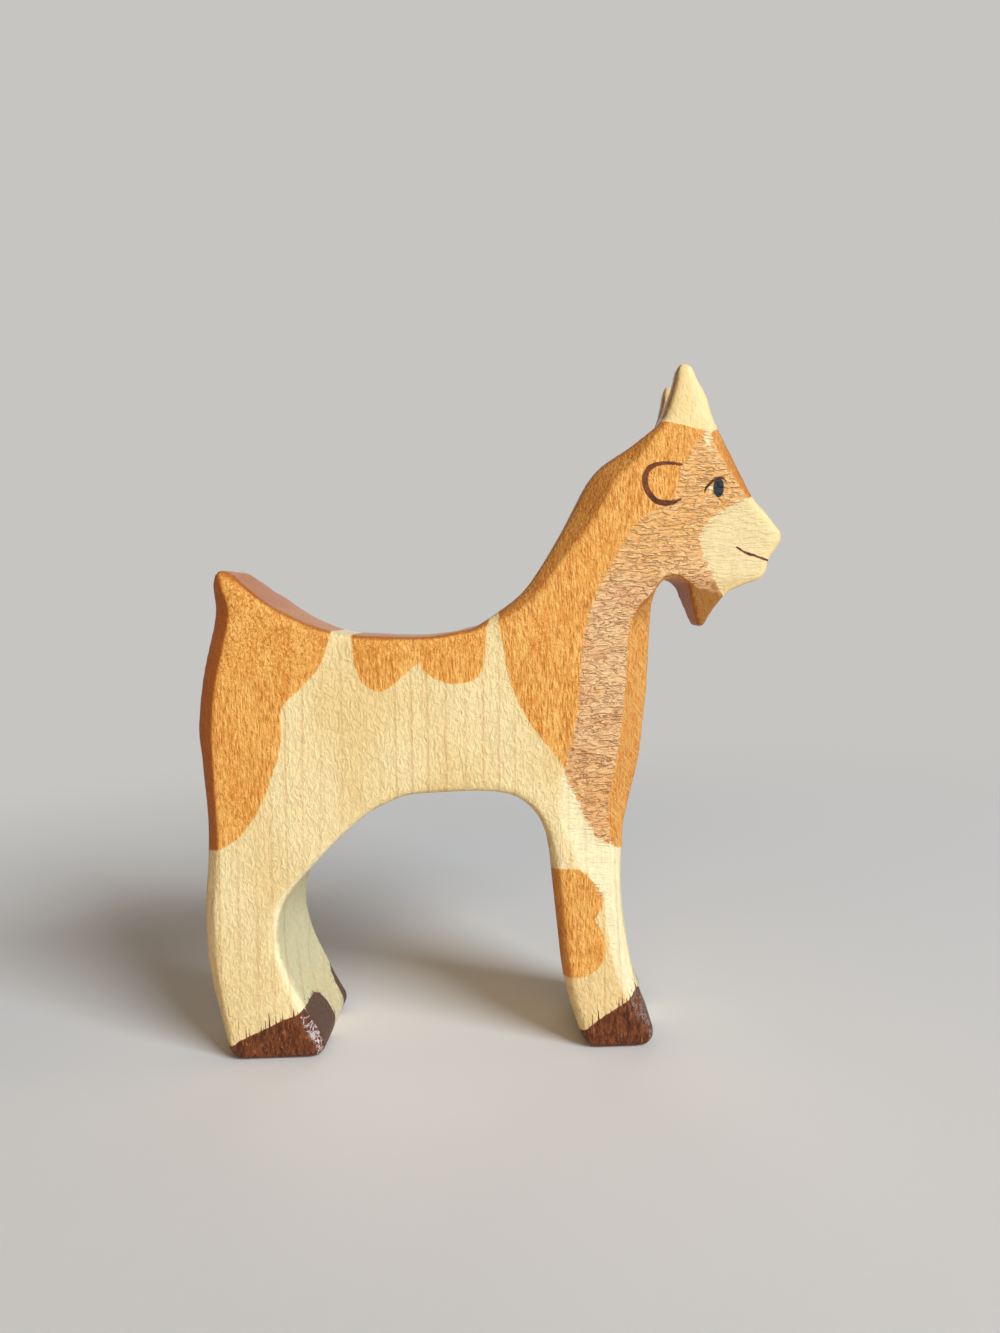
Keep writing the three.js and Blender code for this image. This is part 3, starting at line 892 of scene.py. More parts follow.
@dataclass(frozen=True)
class OrangeStain:
    """Orange wood stain: streaky on the sides, deep where end grain drinks it, with painted shade on faces
    turned back and partly on faces turned up.

    Attributes:
        middle, pale: The stain's two even tones.
        light, dark: Fibres that take less and more of it.
        fleck: Short dark flecks.
        end_grain_and_shade: Where cut fibres drink it, and painted shade on faces turned back and partly on
            faces turned up.
        under_jaw_shade: Darker tone of the steep cut of the jaw and of the beard: painted shade where they
            face down.
        creep: How unsteadily it creeps along the fibres, by up to half of creep_reach.
        ripple_reach: How far the facet's ripples move its edge.
        cloud: Where the pale tone lies.
        fibres: Streaks along the fibres.
        flecks: Where the short flecks lie.
        curly_clouds: Where some of the grain curls.
        tail_z, tail_x: Over which heights and lengths the grain turns curly at the tail.
        back_z, back_x: The same below the back.
        scratch_across, scratch_along: Scratches per millimetre along X and Z, over and along them.
        scratched_z, scratched_x: Over which heights and lengths the chest's scratches come up.
        nape_x: Over which length the painted shade on rear edges gets lighter, towards the nape.
        beard_blur: Half width of the soft edge of the beard's painted shade.
    """

    middle: Colour = srgb(227, 153, 65)
    pale: Colour = srgb(239, 173, 86)
    light: Colour = srgb(252, 202, 116)
    dark: Colour = srgb(178, 99, 33)
    fleck: Colour = srgb(168, 92, 36)
    end_grain_and_shade: Colour = srgb(170, 86, 10)
    under_jaw_shade: Colour = srgb(170, 114, 50)
    creep: Grain = Grain(1.8, 0.3, detail=3.0, rough=0.65)
    creep_reach: float = 0.7
    ripple_reach: float = 2.2
    cloud: Mottle = Mottle(Grain(0.3, 0.07, detail=3.0), 0.38, 0.66)
    fibres: Grain = Grain(3.2, 0.5, detail=3.0, rough=0.65)
    flecks: Mottle = Mottle(Grain(1.7, 0.5), 0.62, 0.74, 0.0, 0.35)
    curly_clouds: Mottle = Mottle(Grain(0.09, 0.07, detail=1.0), 0.5, 0.7, 0.12, 0.4)
    tail_z: Point = (62.0, 84.0)
    tail_x: Point = (-24.0, -34.0)
    back_z: Point = (69.0, 79.0)
    back_x: Point = (6.0, -2.0)
    scratch_across: Point = (2.9, 2.3)
    scratch_along: Point = (0.16, -0.14)
    scratched_z: Point = (86.0, 80.0)
    scratched_x: Point = (12.0, 16.0)
    nape_x: Point = (-10.0, 4.0)
    beard_blur: float = 0.25

    def share(self, bench: WoodBench) -> Socket:
        """Say where the stain lies; it creeps a little further along the fibres.

        Args:
            bench: Material under work.

        Returns:
            The socket with the stain's share.
        """
        ripple = bench.times(bench.maths("SUBTRACT", bench.ripple, 0.5), bench.facet)
        distance = bench.scale_add(bench.stray(self.creep), self.creep_reach, bench.layer(PaintLayer.STAIN))
        return bench.ramp(bench.scale_add(ripple, self.ripple_reach, distance), -0.2, 0.2, 1.0, 0.0)

    def colour(self, bench: WoodBench) -> Socket:
        """Colour the stain on the sawn sides and on the eased edges.

        Args:
            bench: Material under work.

        Returns:
            The socket with the colour.
        """
        fibres, curly = bench.noise(self.fibres), self._curly(bench)
        grain = bench.scale_add(curly, bench.maths("SUBTRACT", bench.curl, fibres), fibres)
        strength = bench.scale_add(curly, -0.12, 0.72)
        soaked_and_shaded = bench.shade(self.end_grain_and_shade, bench.ramp(fibres, 0.34, 0.66, 1.18, 0.84))
        return bench.lay(
            self.middle,
            (bench.mottled(self.cloud), self.pale),
            (bench.times(bench.ramp(grain, 0.5, 0.6), strength), self.light),
            (bench.times(bench.ramp(grain, 0.49, 0.38), strength), self.dark),
            (bench.mottled(self.flecks), self.fleck),
            (self._scratched(bench), self.light),
            # Painted shade under the jaw and on the beard.
            (self._under_jaw(bench), self.under_jaw_shade),
            # Darker where end grain drinks the stain; on faces turned back, and partly on faces turned up,
            # painted shade.
            (self._soaked_and_shaded_share(bench), soaked_and_shaded),
        )

    def _curly(self, bench: WoodBench) -> Socket:
        """Say where the grain curls: by the tail, below the back and in a few clouds elsewhere.

        Args:
            bench: Material under work.

        Returns:
            The socket with the curls' share.
        """
        tail = bench.times(bench.ramp(bench.z, *self.tail_z), bench.ramp(bench.x, *self.tail_x))
        back = bench.times(bench.ramp(bench.z, *self.back_z, 0.0, 0.55), bench.ramp(bench.x, *self.back_x))
        return bench.most(tail, back, bench.mottled(self.curly_clouds))

    def _scratched(self, bench: WoodBench) -> Socket:
        """Say where sandpaper left slanting scratches: on the bevel down the chest.

        Args:
            bench: Material under work.

        Returns:
            The socket with the scratches' share.
        """
        slanting = bench.add("ShaderNodeCombineXYZ")
        for socket, (by_x, by_z) in zip(slanting.inputs, (self.scratch_across, self.scratch_along)):
            bench.plug(socket, bench.scale_add(bench.x, by_x, bench.times(bench.z, by_z)))
        lines = bench.ramp(bench.noise(Grain(1.0, 1.0), slanting.outputs[0]), 0.52, 0.62, 0.0, 0.75)
        bevel = bench.between(bench.forward, (0.25, 0.4), (0.8, 0.92))
        chest = bench.times(bench.ramp(bench.z, *self.scratched_z), bench.ramp(bench.x, *self.scratched_x))
        return bench.times(lines, bevel, chest)

    def _under_jaw(self, bench: WoodBench) -> Socket:
        """Say where painted shade falls: on cuts that face down and outward, and on the beard.

        Args:
            bench: Material under work.

        Returns:
            The socket with their share.
        """
        down = bench.times(bench.ramp(bench.up, -0.2, -0.4), bench.ramp(bench.across, 0.5, 0.75))
        level = bench.scale_add(bench.x, BEARD_SLOPE, bench.z)
        span = (BEARD_LEVEL + self.beard_blur, BEARD_LEVEL - self.beard_blur)
        ahead = bench.ramp(bench.x, THROAT_X - 1.0, THROAT_X)
        return bench.most(down, bench.times(bench.ramp(level, *span, 0.0, 0.85), ahead))

    def _soaked_and_shaded_share(self, bench: WoodBench) -> Socket:
        """Say where the surface turns to the back, the front or up: cut fibres drink the stain on faces
        turned front and up, while the darkening of faces turned back, and part of that on faces turned up, is
        painted shade.

        Args:
            bench: Material under work.

        Returns:
            The socket with the end grain's share.
        """
        # Painted shade on faces turned back, less of it towards the nape.
        backward = bench.times(
            bench.ramp(bench.forward, -0.12, -0.5),
            bench.ramp(bench.up, 0.1, 0.65, 1.0, 0.62),
            bench.ramp(bench.x, *self.nape_x, 1.0, 0.62),
        )
        # Faces turned up: end grain that drinks the stain, partly painted shade.
        upward = bench.ramp(bench.up, 0.25, 0.8, 0.0, 0.85)
        frontward = bench.ramp(bench.forward, 0.32, 0.58)
        frontward = bench.times(frontward, bench.ramp(bench.up, 0.15, 0.42, 0.3, 1.0))
        return bench.times(bench.most(backward, upward, frontward), 0.95)


@dataclass(frozen=True)
class PlanedFacet:
    """Cheek and neck where the plane tore the grain into fine ripples.

    Attributes:
        base, rosy: The stained facet's two tones.
        cheek: Its tone on the head, over the heights of cheek_z.
        chest_end: Its tone low on the chest, over the heights of chest_z.
        groove_and_shade, crest_highlight: Dark and light flanks of the ripples: painted shade in the grooves
            and painted highlight on the crests.
        shake: How unsteady the facet's edge is, by up to half of shake_reach.
        rosiness: Where the rosy tone lies.
        broken: Where the grooves fade.
    """

    base: Colour = srgb(243, 195, 138)
    rosy: Colour = srgb(232, 176, 120)
    cheek: Colour = srgb(242, 183, 110)
    groove_and_shade: Colour = srgb(134, 74, 40)
    crest_highlight: Colour = srgb(250, 214, 164)
    chest_end: Colour = srgb(233, 168, 98)
    cheek_z: Point = (84.0, 96.0)
    chest_z: Point = (62.0, 48.0)
    shake: Grain = Grain(0.7, 0.5, detail=3.0)
    shake_reach: float = 1.2
    rosiness: Mottle = Mottle(Grain(0.16, 0.22), 0.4, 0.62)
    broken: Mottle = Mottle(Grain(0.3, 0.6), 0.38, 0.58, 0.3, 1.0)

    def share(self, bench: WoodBench) -> Socket:
        """Say where the facet lies."""
        distance = bench.scale_add(bench.stray(self.shake), self.shake_reach, bench.layer(PaintLayer.FACET))
        return bench.ramp(distance, -0.55, 0.35, 1.0, 0.0)

    def stained(self, bench: WoodBench) -> Socket:
        """Colour the stained part of the facet, with painted highlight and shade on the flanks of its
        ripples.

        Args:
            bench: Material under work.

        Returns:
            The socket with the colour.
        """
        short_ones = bench.times(bench.thread(bench.short_ripple, 0.48, 0.05), 0.6)
        grooves = bench.most(bench.thread(bench.ripple, 0.47, 0.05), short_ones)
        finer = bench.ramp(bench.z, *self.cheek_z, 0.8, 0.52)
        return bench.lay(
            self.base,
            (bench.mottled(self.rosiness), self.rosy),
            (bench.ramp(bench.z, *self.cheek_z), self.cheek),
            (bench.ramp(bench.z, *self.chest_z, 0.0, 0.7), self.chest_end),
            # Painted highlight on the ripples' crests, then painted shade in their grooves.
            (bench.times(bench.thread(bench.ripple, 0.55, 0.05), 0.7), self.crest_highlight),
            (bench.times(grooves, bench.mottled(self.broken), finer), self.groove_and_shade),
        )


@dataclass(frozen=True)
class BonePaint:
    """Thin pale paint of the muzzle and the horns, with the wood faintly through it.

    Attributes:
        side, facet: Paint on the sawn side and on the planed facet.
        groove_and_shade: Fibres and pores that show through, and painted shade in the facet's ripples.
        horn_back_stain_and_shade: Brown at the back of the horns, partly stain showing through and partly
            painted shade.
        cloud: How thick the paint lies.
        pores: Pores that show through.
        horn_back_patches: How patchily that brown lies at the back of the horns.
    """

    side: Colour = srgb(245, 217, 154)
    facet: Colour = srgb(234, 212, 158)
    groove_and_shade: Colour = srgb(214, 184, 126)
    horn_back_stain_and_shade: Colour = srgb(172, 116, 66)
    cloud: Mottle = Mottle(Grain(0.4, 0.25, detail=3.0), 0.3, 0.7, 1.025, 0.965)
    pores: Mottle = Mottle(Grain(2.2, 0.32), 0.58, 0.74, 0.0, 0.42)
    horn_back_patches: Mottle = Mottle(Grain(1.2, 0.3, detail=3.0), 0.3, 0.6, 0.45, 1.0)

    def colour(self, bench: WoodBench) -> Socket:
        """Colour the paint.

        Args:
            bench: Material under work.

        Returns:
            The socket with the colour.
        """
        # Painted shade in the facet's ripples.
        ripples = bench.times(bench.thread(bench.short_ripple, 0.5, 0.03), bench.facet, 0.28)
        paint = bench.lay(self.side, (bench.facet, self.facet), (ripples, self.groove_and_shade))
        fibres = bench.ramp(bench.fibre, 0.3, 0.7, 0.955, 1.03)
        backward = bench.ramp(bench.forward, -0.45, -0.8)
        return bench.lay(
            bench.shade(paint, bench.times(bench.mottled(self.cloud), fibres)),
            (bench.mottled(self.pores), self.groove_and_shade),
            # Stain and painted shade at the back of the horns.
            (bench.times(backward, bench.mottled(self.horn_back_patches)), self.horn_back_stain_and_shade),
        )


@dataclass(frozen=True)
class HoofBrown:
    """Brown hoof paint that lets the fibres through and crackles on the toe's edge, where the cracks carry a
    painted glint.

    Attributes:
        brown, dark: The paint's two tones.
        fibre: Fibres that show through.
        hoof_front_shade: Greyer tone of the front faces: painted shade.
        crackle: Pale grey along the lines where the paint broke up: a painted glint on the toe's edge.
        spikes: How far the paint ran up the fibres, in millimetres.
        wobble: How unsteady its edge is, by up to half of wobble_reach.
        cloud: Where the brown tone lies.
        specks: Where fibres show through on the sides.
        breaks: Along what lines the paint broke up.
        hind_x: From where to where along X the crackle's painted glint grows towards the hind hooves.
    """

    brown: Colour = srgb(122, 66, 32)
    dark: Colour = srgb(78, 38, 18)
    fibre: Colour = srgb(196, 132, 88)
    hoof_front_shade: Colour = srgb(90, 64, 48)
    crackle: Colour = srgb(226, 219, 216)
    spikes: Mottle = Mottle(Grain(2.6, 0.02, rough=0.6), 0.54, 0.74, 0.0, 2.4)
    wobble: Grain = Grain(1.2, 0.3)
    wobble_reach: float = 0.4
    cloud: Mottle = Mottle(Grain(1.6, 0.5, detail=4.0, rough=0.7), 0.4, 0.62)
    specks: Mottle = Mottle(Grain(2.5, 0.75, detail=3.0, rough=0.7, swirl=0.6), 0.55, 0.72, 0.0, 0.6)
    breaks: Grain = Grain(0.8, 0.75, detail=3.0, rough=0.6, swirl=1.0)
    hind_x: Point = (0.0, -10.0)

    def share(self, bench: WoodBench) -> Socket:
        """Say where the paint lies, with fine spikes where it ran up the fibres.

        Args:
            bench: Material under work.

        Returns:
            The socket with the paint's share.
        """
        distance = bench.maths("SUBTRACT", bench.layer(PaintLayer.HOOF), bench.mottled(self.spikes))
        distance = bench.scale_add(bench.stray(self.wobble), self.wobble_reach, distance)
        return bench.ramp(distance, -0.1, 0.1, 1.0, 0.0)

    def colour(self, bench: WoodBench) -> Socket:
        """Colour the paint.

        Args:
            bench: Material under work.

        Returns:
            The socket with the colour.
        """
        on_side = bench.ramp(bench.across, 0.75, 0.95)
        chamfer = bench.times(bench.ramp(bench.forward, 0.3, 0.5), bench.ramp(bench.across, 0.3, 0.5))
        broken = bench.thread(bench.noise(self.breaks), 0.5, 0.045)
        return bench.lay(
            self.dark,
            (bench.mottled(self.cloud), self.brown),
            (bench.times(bench.mottled(self.specks), on_side), self.fibre),
            # Painted shade on the hooves' front faces.
            (bench.ramp(bench.forward, 0.7, 0.85, 0.0, 0.85), self.hoof_front_shade),
            # Painted glint along the crackle on the toe's bevel.
            (bench.times(chamfer, broken, bench.ramp(bench.x, *self.hind_x, 0.25, 0.9)), self.crackle),
        )


@dataclass(frozen=True)
class MapleFinish:
    """The whole surface: maple, stain, paints and a thin clear lacquer.

    Attributes:
        name: Name of the material.
        wood, stain, planed, bone, hoof: Its layers.
        ink, ink_dark: The drawn lines' two tones, as the brush was pressed.
        pupil: Paint of the eye.
        gleam: Pale spot behind the pupil, and the colour of the pale ridge.
        pressed: Where the brush left more ink.
        dashes: Where the pale ridge shows.
        shake: How unsteady every brushed edge is.
        roughness, specular: How dull and how bright the wood's own gloss is.
        coat, coat_roughness: How much lacquer lies on it, and how dull that is.
        relief_strength: Strength of the fine relief.
        relief_depth: Its depth, in millimetres.
    """

    name: str = "painted_maple"
    wood: BareMaple = BareMaple()
    stain: OrangeStain = OrangeStain()
    planed: PlanedFacet = PlanedFacet()
    bone: BonePaint = BonePaint()
    hoof: HoofBrown = HoofBrown()
    ink: Colour = srgb(118, 62, 28)
    ink_dark: Colour = srgb(84, 42, 24)
    pupil: Colour = srgb(44, 52, 56)
    gleam: Colour = srgb(252, 226, 180)
    pressed: Mottle = Mottle(Grain(0.5, 0.5, detail=3.0), 0.4, 0.6)
    dashes: Mottle = Mottle(Grain(0.9, 1.8, detail=3.0, rough=0.6), 0.46, 0.56)
    shake: Grain = Grain(1.6, 0.7, detail=3.0)
    roughness: float = 0.46
    specular: float = 0.22
    coat: float = 0.04
    coat_roughness: float = 0.3
    relief_strength: float = 0.9
    relief_depth: float = 0.3

    def build(self) -> bpy.types.Material:
        """Build the material.

        Returns:
            The finished material.
        """
        material = bpy.data.materials.new(self.name)
        material.use_nodes = True
        bench = WoodBench(material.node_tree)
        bench.facet = self.planed.share(bench)
        stained = bench.blend(bench.facet, self.stain.colour(bench), self.planed.stained(bench))
        pale_ridge_share = self._brushed(bench, PaintLayer.WORN, blur=0.15, wobble=0.3)
        ink = bench.blend(bench.mottled(self.pressed), self.ink, self.ink_dark)
        colour = bench.lay(
            self.wood.colour(bench),
            (self.stain.share(bench), stained),
            (self._brushed(bench, PaintLayer.BONE, blur=0.12, wobble=0.16), self.bone.colour(bench)),
            (self.hoof.share(bench), self.hoof.colour(bench)),
            (bench.times(pale_ridge_share, bench.mottled(self.dashes)), self.gleam),
            (self._brushed(bench, PaintLayer.GLEAM, blur=0.08, wobble=0.1), self.gleam),
            (self._brushed(bench, PaintLayer.INK, blur=0.07, wobble=0.12), ink),
            (self._brushed(bench, PaintLayer.PUPIL, blur=0.07, wobble=0.08), self.pupil),
        )
        bench.fill(
            material.node_tree.nodes["Principled BSDF"],
            Base_Color=colour,
            Roughness=self._roughness(bench),
            Normal=self._relief(bench),
            Coat_Weight=self.coat,
            Coat_Roughness=self.coat_roughness,
            Specular_IOR_Level=self.specular,
        )
        return material

    def _brushed(self, bench: WoodBench, layer: PaintLayer, blur: float, wobble: float) -> Socket:
        """Turn a layer's distance into its share, with a slightly unsteady edge.

        Args:
            bench: Material under work.
            layer: Layer of paint.
            blur: Half width of its soft edge, in millimetres.
            wobble: How far the edge strays, in millimetres.

        Returns:
            The socket with the layer's share.
        """
        distance = bench.scale_add(bench.stray(self.shake), wobble * 2.0, bench.layer(layer))
        return bench.ramp(distance, -blur, blur, 1.0, 0.0)

    def _roughness(self, bench: WoodBench) -> Socket:
        """Make the planed facet a little glossier than the sawn sides."""
        level = bench.ramp(bench.fibre, 0.2, 0.8, self.roughness - 0.05, self.roughness + 0.07)
        return bench.scale_add(bench.facet, -0.05, level)

    def _relief(self, bench: WoodBench) -> Socket:
        """Raise the fine relief: worm-like scales on the sawn sides, ripples on the planed facet.

        Args:
            bench: Material under work.

        Returns:
            The socket with the turned normal.
        """
        painted = self._brushed(bench, PaintLayer.BONE, blur=0.3, wobble=0.1)
        stained = bench.ramp(bench.layer(PaintLayer.STAIN), -1.6, 1.6, 1.0, 0.0)
        sawn = bench.scale_add(bench.fibre, 0.2, bench.times(bench.worm, 1.35))
        sawn = bench.scale_add(bench.times(bench.curl, stained), 0.7, sawn)
        sawn = bench.times(sawn, bench.scale_add(painted, -0.5, 1.0))
        planed = bench.times(bench.ramp(bench.ripple, 0.38, 0.62), 1.3)
        planed = bench.scale_add(bench.short_ripple, 1.2, planed)
        planed = bench.times(planed, bench.scale_add(stained, 0.78, 0.22))
        height = bench.scale_add(bench.facet, bench.maths("SUBTRACT", planed, sawn), sawn)
        bump = bench.add("ShaderNodeBump")
        bench.fill(bump, Strength=self.relief_strength, Distance=self.relief_depth * MM, Height=height)
        return bump.outputs["Normal"]


@dataclass(frozen=True)
class Wave:
    """A slow wave in the surface.

    Attributes:
        by_x, by_y, by_z: How far it gets for each millimetre along the axes, in radians.
        start: Where it stands at the origin, in radians.
    """

    by_x: float
    by_y: float
    by_z: float
    start: float

    def rise(self, at: Places) -> np.ndarray:
        """Give the wave's height, from -1 to 1."""
        return np.sin(at.x * self.by_x + at.y * self.by_y + at.z * self.by_z + self.start)


@dataclass
class CarvedGoat:
    """The figure itself: one piece of maple, softened from its sawn solid, then painted.

    Attributes:
        node: CAD node that the figure stands for.
        body: Body that it rides on.
        slot: Name of the figure's material slot; not used.
        weld: How near corners of the solid's loose triangles are joined.
        voxel: Spacing of the softened surface.
        softening: Rounds of smoothing that take the edges off the cuts.
        fine_near, finer_near: How near to a drawn line's edge faces are split, and split again.
        hand: How far a hand-held tool strays from the true surface.
        hand_z: Over which heights it begins to stray, above the flat soles.
        waves: In what crossed waves it strays, each pair with its share.
        left_back: How far the left edge of the back and tail was worn lower, at places along X.
        back_y, back_z: From where to where across and up that wear comes in.
        left_horn_shift: How far the back of the left horn was cut further forward.
        horn_x, horn_y, horn_z: From where to where that cut comes in, along each axis.
        coat: Markings.
        finish: Wood, stain and lacquer.
        facet_border: Rear edge of the planed facet, along X and Z.
        border_slant: Distance to that slanting edge for each millimetre along X.
        facet_facing: How squarely the facet's faces turn to the side, at least, from 0 to 1.
        facing_reach: Distance counted for a full turn away from that.
        piece: The figure, once it is made.
    """

    node: str = "goat_body"
    body: str = "root"
    slot: str = "painted_maple"
    weld: float = 0.002
    voxel: float = 0.6
    softening: int = 3
    fine_near: float = 0.55
    finer_near: float = 0.25
    hand: float = 0.07
    hand_z: Point = (0.4, 3.4)
    waves: tuple[tuple[float, Wave, Wave], ...] = (
        (1.0, Wave(0.31, 0.0, 0.17, 1.1), Wave(-0.11, 0.0, 0.23, 0.4)),
        (0.6, Wave(0.0, 0.35, 0.47, 2.0), Wave(0.53, 0.0, 0.0, 0.7)),
    )
    left_back: tuple[Point, ...] = (
        (-58.0, 0.0), (-52.0, 0.6), (-48.0, 1.5), (-45.5, 1.3), (-42.5, 0.6), (-40.0, 0.6), (-36.0, 0.9),
        (-26.0, 0.9), (-12.0, 0.6), (-4.0, 0.0),
    )
    back_y: Point = (2.0, 12.0)
    back_z: Point = (74.0, 79.0)
    left_horn_shift: float = 1.3
    horn_x: Point = (38.0, 33.0)
    horn_y: Point = (3.0, 10.0)
    horn_z: Point = (113.5, 116.0)
    coat: CoatPattern = field(default_factory=CoatPattern)
    finish: MapleFinish = field(default_factory=MapleFinish)
    facet_border: tuple[Point, ...] = (
        (26.6, 3.0), (22.7, 9.9), (20.2, 19.5), (19.2, 28.0), (15.4, 35.0), (12.4, 42.5), (12.8, 51.7),
        (16.2, 65.7), (17.7, 78.7), (23.1, 91.0), (28.6, 98.4), (32.6, 100.6), (34.9, 102.4), (36.1, 106.0),
        (37.6, 109.4), (40.4, 113.3), (43.8, 122.3),
    )
    border_slant: float = 0.8
    facet_facing: float = 0.83
    facing_reach: float = 8.0
    piece: bpy.types.Object | None = None

    def build(self, source: bpy.types.Object) -> bpy.types.Object:
        """Make the figure and put it in the CAD node's place.

        Args:
            source: Object of the CAD node.

        Returns:
            The finished figure.
        """
        self.piece = self._sawn_copy(source)
        self._soften()
        self._refine_near_paint()
        self._stray_by_hand()
        self._store_paint()
        self.piece.data.materials.clear()
        self.piece.data.materials.append(self.finish.build())
        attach(self.piece, self.body)
        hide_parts(self.node)
        return self.piece

    def _sawn_copy(self, source: bpy.types.Object) -> bpy.types.Object:
        """Copy the solid and join its loose triangles.

        Args:
            source: Object of the CAD node.

        Returns:
            The copy.
        """
        bpy.ops.object.select_all(action="DESELECT")
        copy = bpy.data.objects.new("carved_goat", source.data.copy())
        bpy.context.collection.objects.link(copy)
        copy.select_set(True)
        bpy.context.view_layer.objects.active = copy
        bpy.ops.object.mode_set(mode="EDIT")
        bpy.ops.mesh.select_all(action="SELECT")
        bpy.ops.mesh.remove_doubles(threshold=self.weld * MM)
        bpy.ops.object.mode_set(mode="OBJECT")
        return copy

    def _apply(self, kind: str, **settings: Any) -> None:
        """Add a modifier to the figure and apply it.

        Args:
            kind: Blender's name for the modifier.
            settings: Its properties.
        """
        modifier = self.piece.modifiers.new(kind.lower(), kind)
        for name, value in settings.items():
            setattr(modifier, name, value)
        bpy.context.view_layer.objects.active = self.piece
        bpy.ops.object.modifier_apply(modifier=modifier.name)

    def _soften(self) -> None:
        """Cover the solid with an even skin and take the sharpness off its edges."""
        self._apply("REMESH", mode="VOXEL", voxel_size=self.voxel * MM, adaptivity=0.0, use_smooth_shade=True)
        self._apply("SMOOTH", factor=0.5, iterations=self.softening)

    def _vectors(self, name: str) -> np.ndarray:
        """Read a vector of every vertex.

        Args:
            name: Name of the vertices' vector, such as co or normal.

        Returns:
            One row for each vertex.
        """
        flat = np.empty(len(self.piece.data.vertices) * 3)
        self.piece.data.vertices.foreach_get(name, flat)
        return flat.reshape(-1, 3)

    def _places(self) -> Places:
        """Give the vertices' places in millimetres."""
        return Places(*(self._vectors("co") / MM).T)

    def _refine_near_paint(self) -> None:
        """Split the faces under the drawn lines, so that they stay crisp."""
        drawn = (PaintLayer.INK, PaintLayer.PUPIL)
        self._split_faces(
            lambda edges: np.minimum(*(edges[layer] for layer in drawn)) < self.fine_near, cuts=2
        )
        self._split_faces(
            lambda edges: np.minimum(*(np.abs(edges[layer]) for layer in drawn)) < self.finer_near, cuts=1
        )

    def _split_faces(self, wanted: Callable[[dict[PaintLayer, np.ndarray]], np.ndarray], cuts: int) -> None:
        """Split the faces that have a vertex in a wanted place.

        Args:
            wanted: Says from the distances to the paint's edges which vertices count.
            cuts: Cuts of each edge.
        """
        mesh = self.piece.data
        near = wanted(self.coat.edges(self._places()))
        for parts in (mesh.vertices, mesh.edges):
            parts.foreach_set("select", np.zeros(len(parts), dtype=bool))
        loops = np.empty(len(mesh.loops), dtype=np.int64)
        mesh.loops.foreach_get("vertex_index", loops)
        starts = np.empty(len(mesh.polygons), dtype=np.int64)
        mesh.polygons.foreach_get("loop_start", starts)
        mesh.polygons.foreach_set("select", np.logical_or.reduceat(near[loops], starts))
        bpy.ops.object.select_all(action="DESELECT")
        self.piece.select_set(True)
        bpy.context.view_layer.objects.active = self.piece
        bpy.ops.object.mode_set(mode="EDIT")
        bpy.ops.mesh.select_mode(type="FACE")
        bpy.ops.mesh.subdivide(number_cuts=cuts, quadcorner="STRAIGHT_CUT")
        bpy.ops.object.mode_set(mode="OBJECT")

    def _stray_by_hand(self) -> None:
        """Let the surface wander a little, as a hand-held knife and plane do."""
        at = self._places()
        crossed = sum(share * first.rise(at) * second.rise(at) for share, first, second in self.waves)
        away = crossed * self.hand * rising(at.z, *self.hand_z)
        places = np.stack(at, axis=1) + self._vectors("normal") * away[:, None]
        places[:, 0] += self._left_horn_forward(at)
        places[:, 2] -= self._left_back_lower(at)
        self.piece.data.vertices.foreach_set("co", (places * MM).ravel())
        self.piece.data.update()

    def _left_horn_forward(self, at: Places) -> np.ndarray:
        """Say how far the left horn's back was cut further forward than the right one's."""
        left_and_high = rising(at.y, *self.horn_y) * rising(at.z, *self.horn_z)
        return self.left_horn_shift * rising(at.x, *self.horn_x) * left_and_high

    def _left_back_lower(self, at: Places) -> np.ndarray:
        """Say how far the left edge of the back and tail was worn lower than the right one.

        Args:
            at: Places to look at.

        Returns:
            The drop at each place.
        """
        along, lower = np.array(self.left_back).T
        drop = np.interp(at.x, along, lower, left=0.0, right=0.0)
        return drop * rising(at.y, *self.back_y) * rising(at.z, *self.back_z)

    def _store_paint(self) -> None:
        """Write the distance to each paint layer's edge onto the mesh."""
        at = self._places()
        layers = {**self.coat.edges(at), PaintLayer.FACET: self._facet_edge(at)}
        for layer, values in layers.items():
            attribute = self.piece.data.attributes.new(layer.value, "FLOAT", "POINT")
            attribute.data.foreach_set("value", values.astype(np.float32))

    def _facet_edge(self, at: Places) -> np.ndarray:
        """Measure the distance to the edge of the planed facet.

        Args:
            at: Places to measure from.

        Returns:
            Distances, below zero on the facet.
        """
        facing = np.abs(self._vectors("normal")[:, 1])
        border = smooth_line(self.facet_border, closed=False)
        border = border[np.argsort(border[:, 1])]
        behind = (np.interp(at.z, border[:, 1], border[:, 0]) - at.x) * self.border_slant
        turned = (self.facet_facing - facing) * self.facing_reach
        beard = np.where(at.x > THROAT_X, BEARD_LEVEL - at.z - BEARD_SLOPE * at.x, -OUT_OF_REACH)
        return np.maximum.reduce([behind, turned, beard])


